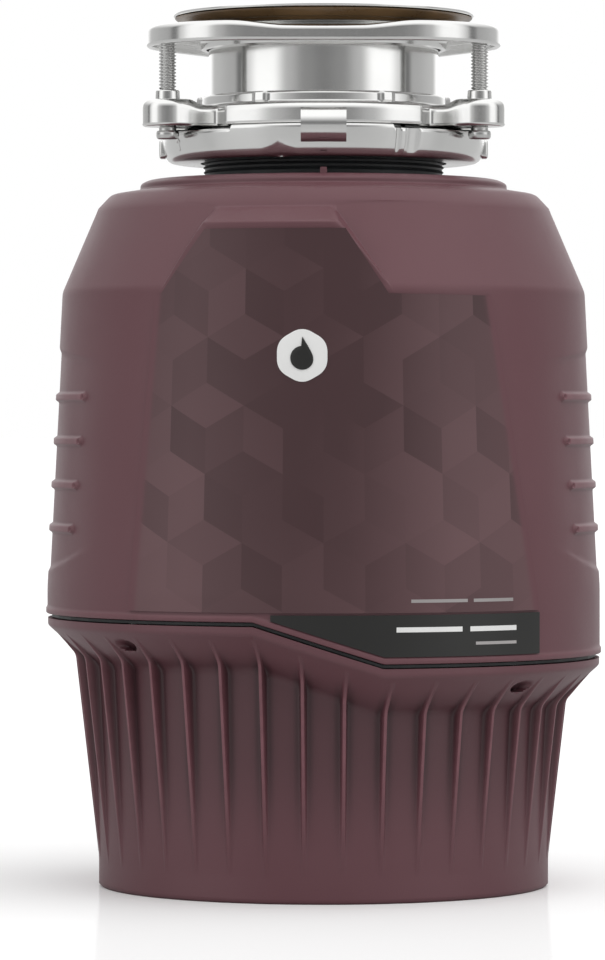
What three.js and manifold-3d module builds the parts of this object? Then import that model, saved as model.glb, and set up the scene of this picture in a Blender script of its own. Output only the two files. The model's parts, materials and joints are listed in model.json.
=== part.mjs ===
// A kitchen garbage disposer: continuous-feed grinder, motor and three-bolt sink mount.
// Millimetres, +Z up, the front faces -Y. The origin is the centre of the foot ring's underside.
// Angles named "turn" are degrees round the axis from the front, positive towards +X.
import * as THREE from "three";
import { mergeVertices } from "three/addons/utils/BufferGeometryUtils.js";
import Module from "manifold-3d";

const wasm = await Module();
wasm.setup();
const { lerp } = THREE.MathUtils;

// ---- driving dimensions ------------------------------------------------------------------
const GAP = 0.3; // clearance between pieces that touch
const SIDES = 20; // facets of a ring inside the body
const CASE_SIDES = 44; // facets round the upper shell
const SMALL_SIDES = 12; // facets of a screw, pin or small hole

// casing
const SEAM_LEFT = 102.5; // height of the seam between the two shells, left of the step
const SEAM_RIGHT = 87.4;
const FIN_COUNT = 38;
const STEP_TURNS = [(-1.5 * 360) / FIN_COUNT, 12]; // the seam slopes down between these two turns
const SEAM_HALF = 0.85; // half of the open groove between the shells
const BASE_R = 85.3;
const FOOT_INNER_R = 80;
const FLOOR_Z = 6; // underside of the lower shell's floor
const FLOOR_THICK = 3;
const FIN_START_Z = 14;
const WALL = 3;
const BODY_R_LOW = 104.9; // upper shell, largest radius under its long taper
const BODY_TAPER = 0.052; // radius lost per millimetre of height
const CREASE_Z = 224.5; // where the body turns into the shoulder
const CREASE_R = 99;
const SHOULDER_Z = 257;
const SHOULDER_R = 85.1;
const COLLAR_R = 69.5;
const COLLAR_HOLE_R = 46.3;
const DORMER_TOP_Z = 248; // the front face carries on up through the shoulder to here
const DORMER_BACK_Z = 254;
const DORMER_LOW_X = [-59, 24.5]; // left and right end of the dormer at the crease
const DORMER_TOP_X = [-43, 7.7]; // and at its top

// label
const LABEL_LIFT = 0.45;
const LABEL_THICK = 0.4;
const BAND_TOP_Z = 106;
const BAND_FROM_X = -19;
const EMBLEM = { x: -7.7, z: 199.5, r: 10.5 };

// shell screws
const SHELL_SCREW_TURNS = [-47.37, 47.37, 132.63, -132.63];
const SHELL_SCREW_PCD = 94.5;

// motor
const SHAFT_R = 8;
const SHAFT_Z = [10, 174];
const WRENCH_FLATS = 6.35; // quarter-inch hexagon key
const BEARING_R = 16;
const STATOR_R = 60;
const STATOR_BORE_R = 34;
const STATOR_Z = [40.3, 92];
const BELL_RIM_R = 67;
const BOLT_PCD = 63.8;
const BOLT_R = 1.8;

// grinding
const TABLE_R = 62;
const TABLE_Z = [170, 174];
const PIVOT_PCD = 45;
const PIVOT_R = 3;
const CHAMBER_R = 68.3; // inside of the grind container
const CONTAINER_WALL = 3;
const DRAIN_R = 78; // inside of the drain housing
const JOINT_Z = 175; // underside of the container's flange, over the drain housing's
const NECK_R = 43.5; // outside of the container's neck

// plumbing
const OUTLET_Z = 147;
const OUTLET_BORE_R = 16;
const OUTLET_PLATE = { w: 56, h: 44, t: 4, face: 99.1 };
const OUTLET_SCREW_X = 23;
const INLET_Z = 215;
const INLET_BORE_R = 8;
const INLET_FACE = 103;

// sink mount
const SLEEVE_R = 43.6;
const FLANGE_R = 57.2;
const TOP_Z = 330;
const MOUNT_TURNS = [-60, 60, 180];
const MOUNT_PCD = 67.2;
const MOUNT_SCREW_R = 3.15;
const LOCK_RING_R = 61;
const LOCK_RING_Z = [273.5, 285.4];
const MOUNTING_RING_R = 53; // its round body, between the arms and the ramps
const RAMP_R = 60.3; // its three thick ramps, half way between the arms
const RAMP_HALF_TURN = 33;
const MOUNTING_RING_Z = [285.7, 295.8];
const BACKUP_RING_Z = [316.3, 322.5, 324]; // underside, top under the flange, top of the corners
const BACKUP_CORNER = { at: 31.9, r: 39.1 }; // the backup ring is a triangle with these round corners

// underside
const RESET_PCD = 71;
const RESET_TURN = -40;
const RESET_R = 4;
const TERMINAL_X = 45;

// ---- materials ---------------------------------------------------------------------------
function finish(color, metalness, roughness) {
  return new THREE.MeshStandardMaterial({ color, metalness, roughness });
}
const PLUM_PLASTIC = finish(0x65484d, 0, 0.5);
const LABEL_FILM = finish(0x4a3a3b, 0, 0.45);
const BLACK_FILM = finish(0x323230, 0, 0.4);
const WHITE_FILM = finish(0xf2f2f0, 0, 0.4);
const STEEL = finish(0xb9b9b7, 1, 0.25);
const CAST_ALUMINIUM = finish(0x9b9b99, 1, 0.5);
const ZINC = finish(0x8f9090, 1, 0.35);
const RUBBER = finish(0x141617, 0, 0.8);
const BROWN_RUBBER = finish(0x3b2a1a, 0, 0.5);
const FOAM = finish(0xd9d6cf, 0, 0.95);
const LAMINATION = finish(0x5d5f63, 1, 0.6);
const COPPER = finish(0xa8642c, 1, 0.4);
const BLACK_PLASTIC = finish(0x1c1c1d, 0, 0.5);
const RED_PLASTIC = finish(0xb3201c, 0, 0.4);

// ---- solids ------------------------------------------------------------------------------
// A closed geometry as a solid: vertices merged, empty faces dropped, faces turned outwards.
function solid(geometry) {
  const bare = geometry.clone();
  bare.deleteAttribute("normal");
  bare.deleteAttribute("uv");
  const merged = mergeVertices(bare, 1e-4);
  const place = merged.attributes.position;
  const corner = [0, 1, 2].map(() => new THREE.Vector3());
  const faces = [];
  let volume = 0;
  for (let i = 0; i < merged.index.count; i += 3) {
    const [a, b, c] = [0, 1, 2].map((k) => merged.index.getX(i + k));
    if (a === b || b === c || c === a) continue;
    faces.push([a, b, c]);
    [a, b, c].forEach((v, k) => corner[k].fromBufferAttribute(place, v));
    volume += corner[0].dot(corner[1].cross(corner[2]));
  }
  const outward = volume < 0 ? faces.map(([a, b, c]) => [a, c, b]) : faces;
  const mesh = new wasm.Mesh({
    numProp: 3,
    vertProperties: Float32Array.from(place.array),
    triVerts: Uint32Array.from(outward.flat()),
  });
  return new wasm.Manifold(mesh);
}

function geometryOf(shape) {
  const mesh = shape.getMesh();
  const geometry = new THREE.BufferGeometry();
  geometry.setAttribute("position", new THREE.BufferAttribute(mesh.vertProperties, mesh.numProp));
  geometry.setIndex(new THREE.BufferAttribute(mesh.triVerts, 1));
  geometry.computeVertexNormals();
  return geometry;
}

function piece(name, shape, material, z = 0) {
  const mesh = new THREE.Mesh(geometryOf(shape), material);
  mesh.name = name;
  mesh.position.z = z;
  return mesh;
}

// A ring or disc turned about the Z axis from a closed profile of [radius, height] points.
function turned(profile, sides = SIDES) {
  const points = profile.concat([profile[0]]).map(([r, z]) => new THREE.Vector2(r, z));
  return solid(new THREE.LatheGeometry(points, sides).rotateX(Math.PI / 2));
}

function ring(inner, outer, z0, z1, sides = SIDES) {
  return turned([[inner, z0], [outer, z0], [outer, z1], [inner, z1]], sides);
}

// An upright cylinder standing on z0.
function rod(radius, z0, z1, { x = 0, y = 0, sides = SMALL_SIDES } = {}) {
  const geometry = new THREE.CylinderGeometry(radius, radius, z1 - z0, sides);
  return solid(geometry.rotateX(Math.PI / 2).translate(x, y, (z0 + z1) / 2));
}

// A cylinder along Y from y0 to y1.
function rodAlongY(radius, y0, y1, { x = 0, z = 0, sides = SMALL_SIDES } = {}) {
  return solid(new THREE.CylinderGeometry(radius, radius, y1 - y0, sides).translate(x, (y0 + y1) / 2, z));
}

function block(w, d, h, x = 0, y = 0, z = 0) {
  return solid(new THREE.BoxGeometry(w, d, h).translate(x, y, z));
}

// A block whose outward side faces "turn", standing at radius r.
function blockAtTurn(w, d, h, r, turn, z) {
  const geometry = new THREE.BoxGeometry(w, d, h).translate(0, -r, z);
  return solid(geometry.rotateZ(THREE.MathUtils.degToRad(turn)));
}

function atTurn(r, turn) {
  const angle = THREE.MathUtils.degToRad(turn);
  return { x: r * Math.sin(angle), y: -r * Math.cos(angle) };
}

// A ring whose profile changes round the axis: profileAt(turn) gives the closed loop there.
function ringOfProfiles(profileAt, turns) {
  const loops = turns.map((turn) => profileAt(turn).map(([r, z]) => ({ ...atTurn(r, turn), z })));
  const count = loops[0].length;
  const index = [];
  loops.forEach((_, i) => {
    const here = i * count;
    const next = ((i + 1) % loops.length) * count;
    for (let j = 0; j < count; j += 1) {
      const up = (j + 1) % count;
      index.push(here + j, next + j, next + up, here + j, next + up, here + up);
    }
  });
  return solid(gridGeometry(loops.flat(), index));
}

function gridGeometry(points, index) {
  const geometry = new THREE.BufferGeometry();
  const flat = points.flatMap(({ x, y, z }) => [x, y, z]);
  geometry.setAttribute("position", new THREE.Float32BufferAttribute(flat, 3));
  geometry.setIndex(index);
  return geometry;
}

// A thin film lying over the upper shell: placeAt(u, v) gives its [turn, z].
function film(placeAt, columns, rows, lift) {
  const layer = (extra) =>
    rows.flatMap((v) =>
      Array.from({ length: columns + 1 }, (_, i) => {
        const [turn, z] = placeAt(i / columns, v);
        return { ...atTurn(upperRadius(turn, z) + extra, turn), z };
      }),
    );
  const width = columns + 1;
  const size = width * rows.length;
  const index = [];
  const quad = (a, b, c, d) => index.push(a, b, c, a, c, d);
  for (let r = 0; r < rows.length - 1; r += 1) {
    for (let c = 0; c < columns; c += 1) {
      const a = r * width + c;
      quad(a, a + 1, a + width + 1, a + width);
      quad(size + a, size + a + width, size + a + width + 1, size + a + 1);
    }
  }
  const edge = [];
  for (let c = 0; c < columns; c += 1) edge.push(c);
  for (let r = 0; r < rows.length - 1; r += 1) edge.push(r * width + columns);
  for (let c = columns; c > 0; c -= 1) edge.push((rows.length - 1) * width + c);
  for (let r = rows.length - 1; r > 0; r -= 1) edge.push(r * width);
  edge.forEach((a, i) => {
    const b = edge[(i + 1) % edge.length];
    quad(b, a, size + a, size + b);
  });
  return solid(gridGeometry([...layer(lift + LABEL_THICK), ...layer(lift)], index));
}

// ---- shapes shared by several pieces -----------------------------------------------------
// The seam steps down across the front, and back up the same way behind.
function seamHeight(turn) {
  const [from, to] = STEP_TURNS.map((at) => Math.sin(THREE.MathUtils.degToRad(at)));
  const side = Math.sin(THREE.MathUtils.degToRad(turn));
  const along = THREE.MathUtils.clamp((side - from) / (to - from), 0, 1);
  return lerp(SEAM_LEFT, SEAM_RIGHT, along);
}

// Radius of the upper shell without its dormer: a long taper, a crease and a shoulder cone.
function plainUpperRadius(z) {
  if (z <= CREASE_Z) return Math.min(BODY_R_LOW, CREASE_R + (CREASE_Z - z) * BODY_TAPER);
  const along = Math.min((z - CREASE_Z) / (SHOULDER_Z - CREASE_Z), 1);
  return lerp(CREASE_R, SHOULDER_R, along);
}

// The front dormer is the least of its face, its sloped top and its two steep sides.
function upperRadius(turn, z) {
  const plain = plainUpperRadius(z);
  if (z <= CREASE_Z || Math.abs(turn) > 60) return plain;
  const along = (z - CREASE_Z) / (DORMER_TOP_Z - CREASE_Z);
  const x = plain * Math.sin(THREE.MathUtils.degToRad(turn));
  const left = lerp(DORMER_LOW_X[0], DORMER_TOP_X[0], along);
  const right = lerp(DORMER_LOW_X[1], DORMER_TOP_X[1], along);
  const face = CREASE_R - (z - CREASE_Z) * BODY_TAPER;
  const backRadius = plainUpperRadius(DORMER_BACK_Z);
  const topSlope = (face - backRadius) / (DORMER_BACK_Z - DORMER_TOP_Z);
  const top = face - Math.max(z - DORMER_TOP_Z, 0) * topSlope;
  const sideSlope = 3;
  const sides = plain + Math.min(x - left, right - x) * sideSlope;
  return Math.max(plain, Math.min(face, top, sides));
}

// Even turns round the axis, with the four places where the seam bends put in among them.
function seamTurns(count) {
  const [from, to] = STEP_TURNS;
  const bends = [to, 180 - to, 180 - from, 360 + from];
  const even = Array.from({ length: count }, (_, i) => (i * 360) / count);
  const kept = even.filter((turn) => bends.every((bend) => Math.abs(turn - bend) > 1));
  return [...kept, ...bends].sort((a, b) => a - b);
}

// ---- casing ------------------------------------------------------------------------------
const FIN_SLOPE = 0.1275; // a fin's edge leans out this much per millimetre
const VALLEY_BEND_R = 89.2;

function lowerOuter(turn, proud) {
  const seam = seamHeight(turn);
  const bend = seam - 17.5;
  const finR = BASE_R + (bend - 18) * FIN_SLOPE;
  return [
    [BASE_R, 0],
    [BASE_R, FIN_START_Z],
    [proud ? finR : VALLEY_BEND_R, bend],
    [proud ? 98.6 : 97.2, seam - 9.8],
    [103.6, seam - 4.5],
    [104.6, seam - SEAM_HALF],
  ];
}

function lowerProfile(turn, proud) {
  const seam = seamHeight(turn);
  const floorTop = FLOOR_Z + FLOOR_THICK;
  return [
    ...lowerOuter(turn, proud),
    [101.3, seam - SEAM_HALF],
    [101.3, seam - 2.9],
    [87.5, seam - 15.7],
    [BASE_R - WALL, FIN_START_Z],
    [BASE_R - WALL, floorTop],
    [13, floorTop],
    [13, FLOOR_Z],
    [FOOT_INNER_R, FLOOR_Z],
    [FOOT_INNER_R, 0],
  ];
}

function lowerShell() {
  const turns = seamTurns(FIN_COUNT * 2); // odd steps are fin edges, and the rest is valley
  const isFin = (turn) => Math.abs(((turn * FIN_COUNT) / 360) % 1 - 0.5) < 0.01;
  let shell = ringOfProfiles((turn) => lowerProfile(turn, isFin(turn)), turns);
  const inside = ringOfProfiles((turn) => [...lowerOuter(turn, false), [40, 60], [40, 0]], seamTurns(CASE_SIDES));
  for (const turn of SHELL_SCREW_TURNS) {
    const at = atTurn(SHELL_SCREW_PCD, turn);
    const seam = seamHeight(turn);
    shell = shell.add(rod(6, seam - 16, seam - 3.4, at).intersect(inside));
    shell = shell.subtract(rod(4.3, seam - 24, seam - 7, at));
    shell = shell.subtract(rod(2.2, seam - 24, seam, at));
  }
  const resetAt = atTurn(RESET_PCD, RESET_TURN);
  shell = shell.subtract(rod(RESET_R + 0.5, 0, 20, resetAt));
  shell = shell.subtract(block(30, 22, 20, TERMINAL_X - 4, 0, 10));
  shell = shell.subtract(rod(2.1, 0, 20, { x: TERMINAL_X + 17 }));
  return piece("lower_shell", shell, PLUM_PLASTIC);
}

function upperProfile(turn) {
  const seam = seamHeight(turn);
  const low = seam + SEAM_HALF;
  const outer = (z) => [upperRadius(turn, z), z];
  return [
    [101.3, low],
    [105.3, low],
    [105.3, low + 2.3],
    [BODY_R_LOW, low + 2.8],
    outer(112),
    outer(CREASE_Z),
    outer(231),
    outer(238),
    outer(DORMER_TOP_Z),
    outer(DORMER_BACK_Z),
    [SHOULDER_R, SHOULDER_Z],
    [80.6, 262.6],
    [COLLAR_R, 265],
    [COLLAR_R, 267.5],
    [66.7, 269],
    [COLLAR_HOLE_R, 270.8],
    [COLLAR_HOLE_R, 267.8],
    [66, 264],
    [79, 258.5],
    [96, 222],
    [101.3, 116],
  ];
}

function upperShell() {
  let shell = ringOfProfiles(upperProfile, seamTurns(CASE_SIDES));
  for (const turn of SHELL_SCREW_TURNS) {
    const at = atTurn(SHELL_SCREW_PCD, turn);
    const seam = seamHeight(turn);
    const boss = rod(4.6, seam - 3, seam + 16, at);
    const web = blockAtTurn(3, 8, 13, 98.5, turn, seam + 9);
    shell = shell.add(boss).add(web).subtract(rod(2.1, seam - 5, seam + 12, at));
  }
  shell = shell.subtract(block(64, 40, 52, 0, 105, OUTLET_Z));
  shell = shell.subtract(rodAlongY(12, 85, 112, { z: INLET_Z, sides: 16 }));
  return piece("upper_shell", shell, PLUM_PLASTIC);
}

function shellScrews() {
  return SHELL_SCREW_TURNS.map((turn, i) => {
    const shape = rod(3.6, 0, 2.4).add(rod(1.8, 2, 20));
    const screw = piece(`shell_screw_${i + 1}`, shape, ZINC);
    const at = atTurn(SHELL_SCREW_PCD, turn);
    screw.position.set(at.x, at.y, seamHeight(turn) - 9.7);
    return screw;
  });
}

function seamGasket() {
  const loop = (turn) => {
    const seam = seamHeight(turn);
    return [[101.4, seam - 0.5], [103.2, seam - 0.5], [103.2, seam + 0.5], [101.4, seam + 0.5]];
  };
  return piece("seam_gasket", ringOfProfiles(loop, seamTurns(CASE_SIDES)), RUBBER);
}

// ---- label -------------------------------------------------------------------------------
const LABEL_TOP_Z = 221.5; // over the body
const LABEL_PEAK_Z = 243; // over the dormer
const LIP_TOP = SEAM_HALF + 3.4; // the raised lip of the upper shell, above the seam

// Left and right edge of the label: over the body, and over the dormer above it.
function bodyEdges(z) {
  const along = (z - SEAM_RIGHT) / (CREASE_Z - SEAM_RIGHT);
  return [lerp(-45.8, -38, along), lerp(49.3, 40, along)];
}

function dormerEdges(z) {
  const along = (z - LABEL_TOP_Z) / (LABEL_PEAK_Z - LABEL_TOP_Z);
  return [lerp(-34, -25, along), lerp(12, 5.5, along)];
}

function frontLabel() {
  const between = (edges) => (u, z) => [lerp(...edges(z), u), z];
  const low = film(between(bodyEdges), 14, [SEAM_LEFT + LIP_TOP, 140, 180, LABEL_TOP_Z], LABEL_LIFT);
  const high = film(between(dormerEdges), 8, [LABEL_TOP_Z - 0.5, 232, LABEL_PEAK_Z], LABEL_LIFT);
  return piece("front_label", low.add(high), LABEL_FILM);
}

function labelBand() {
  const placeAt = (u, v) => {
    const right = bodyEdges(BAND_TOP_Z - 8)[1];
    const left = THREE.MathUtils.radToDeg(Math.asin(BAND_FROM_X / BODY_R_LOW));
    const turn = lerp(left, right, u);
    const low = Math.min(seamHeight(turn) + LIP_TOP, BAND_TOP_Z - 1);
    return [turn, lerp(low, BAND_TOP_Z, v)];
  };
  return piece("label_band", film(placeAt, 10, [0, 1], LABEL_LIFT), BLACK_FILM);
}

function emblem() {
  const placeAt = (u, v) => {
    const half = EMBLEM.r * 0.87 * Math.min(1, (1.06 - Math.abs(v)) * 2);
    const x = EMBLEM.x + half * (2 * u - 1);
    const z = EMBLEM.z + EMBLEM.r * v;
    return [THREE.MathUtils.radToDeg(Math.asin(x / upperRadius(0, z))), z];
  };
  const lift = LABEL_LIFT * 2 + LABEL_THICK;
  return piece("emblem", film(placeAt, 4, [-1, -0.56, 0, 0.56, 1], lift), WHITE_FILM);
}

// ---- motor -------------------------------------------------------------------------------
function boltPlaces() {
  return [45, 135, 225, 315].map((turn) => atTurn(BOLT_PCD, turn));
}

function withBoltHoles(shape) {
  return boltPlaces().reduce((rest, at) => rest.subtract(rod(BOLT_R + 0.4, 20, 110, { ...at, sides: 8 })), shape);
}

function lowerEndBell() {
  const boss = BEARING_R + GAP;
  const profile = [
    [9, 14], [STATOR_R, 14], [STATOR_R, 36], [BELL_RIM_R, 36], [BELL_RIM_R, 40], [56, 40],
    [56, 18], [boss + 4, 18], [boss + 4, 30], [boss, 30], [boss, 17], [9, 17],
  ];
  return piece("lower_end_bell", withBoltHoles(turned(profile)), CAST_ALUMINIUM);
}

function upperEndBell() {
  const boss = BEARING_R + GAP;
  const base = STATOR_Z[1] + GAP;
  const profile = [
    [56, base], [BELL_RIM_R, base], [BELL_RIM_R, base + 4], [STATOR_R, base + 4], [STATOR_R, 116],
    [boss + 4, 122], [9, 122], [9, 119], [boss, 119], [boss, 106], [boss + 4, 106], [boss + 4, 112], [56, 112],
  ];
  return piece("upper_end_bell", withBoltHoles(turned(profile)), CAST_ALUMINIUM);
}

function throughBolts() {
  return boltPlaces().map((at, i) => {
    const shape = rod(3.2, 0, 3, { sides: 6 }).add(rod(BOLT_R, 2, 66, { sides: 8 }));
    const bolt = piece(`through_bolt_${i + 1}`, shape, ZINC);
    bolt.position.set(at.x, at.y, 32.5);
    return bolt;
  });
}

function motorPieces() {
  const [low, high] = STATOR_Z;
  const bearing = ring(SHAFT_R + GAP, BEARING_R, 0, 10.5, 16);
  const winding = turned([[37, 0], [54, 0], [55, 5], [52, 11], [41, 11], [37, 6]]);
  const windingLow = turned([[37, 11.5], [37, 5], [41, 0], [52, 0], [55, 6], [54, 11.5]]);
  return [
    lowerEndBell(),
    upperEndBell(),
    ...throughBolts(),
    piece("stator_core", ring(STATOR_BORE_R, STATOR_R, low, high), LAMINATION),
    piece("winding_upper", winding, COPPER, high + GAP),
    piece("winding_lower", windingLow, COPPER, low - 12),
    piece("bearing_lower", bearing, STEEL, 17.4),
    piece("bearing_upper", bearing, STEEL, 108),
    piece("start_capacitor", rod(6.5, 12, 60, { y: 74.8, sides: 16 }), BLACK_PLASTIC),
  ];
}

function rotorPieces() {
  const [low, high] = SHAFT_Z;
  const key = rod(WRENCH_FLATS / 2 / Math.cos(Math.PI / 6), low - 1, low + 8, { sides: 6 });
  const shaft = rod(SHAFT_R, low, high, { sides: SIDES }).subtract(key);
  return [
    piece("motor_shaft", shaft, STEEL),
    piece("rotor_core", ring(SHAFT_R + GAP, STATOR_BORE_R - 0.6, STATOR_Z[0] + 1, STATOR_Z[1] - 1), LAMINATION),
    turntable(),
    piece("turntable_nut", rod(9, TABLE_Z[1] + GAP, TABLE_Z[1] + 6, { sides: 6 }), ZINC),
    ...impellerPieces(),
  ];
}

// ---- grinding ----------------------------------------------------------------------------
function turntable() {
  const bore = SHAFT_R + GAP;
  const [low, high] = TABLE_Z;
  const rim = [[bore, low - 10], [14, low - 10], [14, low], [TABLE_R, low], [TABLE_R, high], [bore, high]];
  let table = turned(rim);
  for (const turn of [0, 180]) table = table.subtract(rod(PIVOT_R + GAP, low - 2, high + 2, atTurn(PIVOT_PCD, turn)));
  for (const turn of [60, 120, 240, 300]) table = table.subtract(rod(5, low - 2, high + 2, atTurn(36, turn)));
  return piece("turntable", table, STEEL);
}

// Two swinging lugs, each on a rivet through the turntable.
function impellerPieces() {
  return [0, 180].flatMap((turn, i) => {
    const at = atTurn(PIVOT_PCD, turn);
    const out = new THREE.Shape();
    out.moveTo(-7, -13);
    out.lineTo(7, -13);
    out.lineTo(7, 7);
    out.absarc(0, 7, 7, 0, Math.PI, false);
    const lug = solid(new THREE.ExtrudeGeometry(out, { depth: 7, bevelEnabled: false, curveSegments: 8 }));
    const impeller = piece(`impeller_${i + 1}`, lug.subtract(rod(PIVOT_R + GAP, -1, 9)), STEEL);
    impeller.position.set(at.x, at.y, TABLE_Z[1] + GAP);
    impeller.rotation.z = THREE.MathUtils.degToRad(turn);
    const rivet = piece(`impeller_rivet_${i + 1}`, rod(PIVOT_R, 0, 16).add(rod(5, 15, 17.5)), ZINC);
    rivet.position.set(at.x, at.y, TABLE_Z[0] - 3);
    return [impeller, rivet];
  });
}

function shredderRing() {
  const inner = 63.5;
  let shape = ring(inner, CHAMBER_R - GAP, 168, 194);
  const teeth = 16;
  for (let k = 0; k < teeth; k += 1) {
    shape = shape.subtract(blockAtTurn(6, 5, 12, inner + 0.5, (k * 360) / teeth, 174));
  }
  return piece("shredder_ring", shape, STEEL);
}

function grindContainer() {
  const outer = CHAMBER_R + CONTAINER_WALL;
  const profile = [
    [CHAMBER_R, JOINT_Z], [84, JOINT_Z], [84, JOINT_Z + 3], [outer, JOINT_Z + 3], [outer, 226], [46, 252],
    [NECK_R, 254],
    [NECK_R, 272], [NECK_R - 3, 272], [NECK_R - 3, 251.5], [CHAMBER_R, 224],
  ];
  const spigot = rodAlongY(INLET_BORE_R + 3, outer - 1.5, INLET_FACE, { z: INLET_Z, sides: 16 });
  const bore = rodAlongY(INLET_BORE_R, 60, INLET_FACE + 1, { z: INLET_Z, sides: 16 });
  return piece("grind_container", turned(profile).add(spigot).subtract(bore), BLACK_PLASTIC);
}

function drainHousing() {
  const outer = DRAIN_R + CONTAINER_WALL;
  const profile = [
    [12.4, 126], [outer, 126], [outer, JOINT_Z - 5.6], [84, JOINT_Z - 5.6], [84, JOINT_Z - 2.6],
    [DRAIN_R, JOINT_Z - 2.6],
    [DRAIN_R, 133], [16, 129.5], [16, 140], [12.4, 140],
  ];
  const back = OUTLET_PLATE.face - OUTLET_PLATE.t - 2.6; // leaves room for the plate and its gasket
  const tube = rodAlongY(OUTLET_BORE_R + 3.5, outer - 2, back, { z: OUTLET_Z, sides: 24 });
  const pad = block(OUTLET_PLATE.w, 4, OUTLET_PLATE.h - 4, 0, back - 2, OUTLET_Z - 1);
  const bore = rodAlongY(OUTLET_BORE_R, 60, 110, { z: OUTLET_Z, sides: 24 });
  let shape = turned(profile).add(tube).add(pad).subtract(bore);
  for (const x of [-OUTLET_SCREW_X, OUTLET_SCREW_X]) {
    shape = shape.subtract(rodAlongY(2.1, back - 5, back + 1, { x, z: OUTLET_Z, sides: 8 }));
  }
  return piece("drain_housing", shape, BLACK_PLASTIC);
}

function outletPieces() {
  const { w, h, t, face } = OUTLET_PLATE;
  const bore = rodAlongY(OUTLET_BORE_R, 60, 110, { z: OUTLET_Z, sides: 24 });
  const gasketMiddle = face - t - GAP - 1;
  const gasket = rodAlongY(OUTLET_BORE_R + 3, gasketMiddle - 1, gasketMiddle + 1, { z: OUTLET_Z, sides: 24 }).subtract(bore);
  let plate = block(w, t, h, 0, face - t / 2, OUTLET_Z).subtract(bore);
  const screws = [];
  [-OUTLET_SCREW_X, OUTLET_SCREW_X].forEach((x, i) => {
    const at = { x, z: OUTLET_Z };
    plate = plate.subtract(rodAlongY(4.2, face - 2.2, face + 1, at));
    plate = plate.subtract(rodAlongY(2.2, face - 6, face + 1, at));
    const screw = rodAlongY(3.8, face - 1.9, face - 0.2, at).add(rodAlongY(1.8, face - 11, face - 1, { ...at, sides: 8 }));
    screws.push(piece(`outlet_screw_${i + 1}`, screw, ZINC));
  });
  return [piece("outlet_gasket", gasket, RUBBER), piece("outlet_flange", plate, STEEL), ...screws];
}

function grindPieces() {
  const [clampLow, clampHigh] = [JOINT_Z - 7.1, JOINT_Z + 4.5];
  const clamp = [
    [81.4, clampLow], [87.6, clampLow], [87.6, clampHigh], [81.4, clampHigh],
    [81.4, clampHigh - 1.1], [84.4, clampHigh - 1.1], [84.4, clampLow + 1.1], [81.4, clampLow + 1.1],
  ];
  const jacket = [[73, 181], [93, 181], [93, 221], [80, 248], [55, 257.5], [50, 257.5], [50, 253.5], [73, 229.5]];
  const inletHole = rodAlongY(INLET_BORE_R + 4, 60, 110, { z: INLET_Z, sides: 16 });
  const plug = rodAlongY(INLET_BORE_R - GAP, 84, 87, { z: INLET_Z, sides: 16 });
  return [
    grindContainer(),
    shredderRing(),
    drainHousing(),
    ...outletPieces(),
    piece("shaft_seal", ring(SHAFT_R + GAP, 12.1, 127, 139, 16), RUBBER),
    piece("housing_gasket", ring(DRAIN_R + GAP, 83.7, JOINT_Z - 2.3, JOINT_Z - GAP), RUBBER),
    piece("housing_clamp", turned(clamp), STEEL),
    piece("insulation_jacket", turned(jacket).subtract(inletHole), FOAM),
    piece("dishwasher_plug", plug, BLACK_PLASTIC),
  ];
}

// ---- sink mount --------------------------------------------------------------------------
function mountGasket() {
  const profile = [
    [43.8, 262], [45.5, 262], [45.5, 275.5], [50, 277], [50, 282.5], [41, 282.5], [41, 276], [43.8, 272.5],
  ];
  return piece("mount_gasket", turned(profile), RUBBER);
}

function splashBaffle() {
  return piece("splash_baffle", turned([[12, 268], [40.6, 276.5], [40.6, 279], [12, 270.5]]), RUBBER);
}

// The ring that turns to lock the body to the mount, with a rolled lug for a wrench.
function lockRing() {
  const [low, high] = LOCK_RING_Z;
  const profile = [
    [46.7, low], [57.5, low], [60, low + 1.2], [LOCK_RING_R, low + 3.5], [LOCK_RING_R, high],
    [47.3, high], [47.3, 283.1], [51.4, 283.1], [51.4, 276.6], [46.7, 275.2],
  ];
  const lugR = 5.8;
  const lug = solid(
    new THREE.CylinderGeometry(lugR, lugR, 15.8, 12).rotateZ(Math.PI / 2).translate(0, lugR - 64.5, 284.6),
  );
  const inside = rod(LOCK_RING_R - 1, low, 300, { sides: SIDES });
  const clear = rod(LOCK_RING_R + 0.3, high, 300, { sides: SIDES });
  let shape = turned(profile).add(lug.subtract(inside).subtract(clear));
  for (const turn of [90, -90]) shape = shape.add(blockAtTurn(7, 1.8, 5, LOCK_RING_R + 0.3, turn, 277.3));
  return piece("lock_ring", shape, STEEL);
}

// An upright prism on a closed shape, from z0 to z1.
function prism(shape, z0, z1, curveSegments = 10) {
  const geometry = new THREE.ExtrudeGeometry(shape, { depth: z1 - z0, bevelEnabled: false, curveSegments });
  return solid(geometry.translate(0, 0, z0));
}

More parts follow.
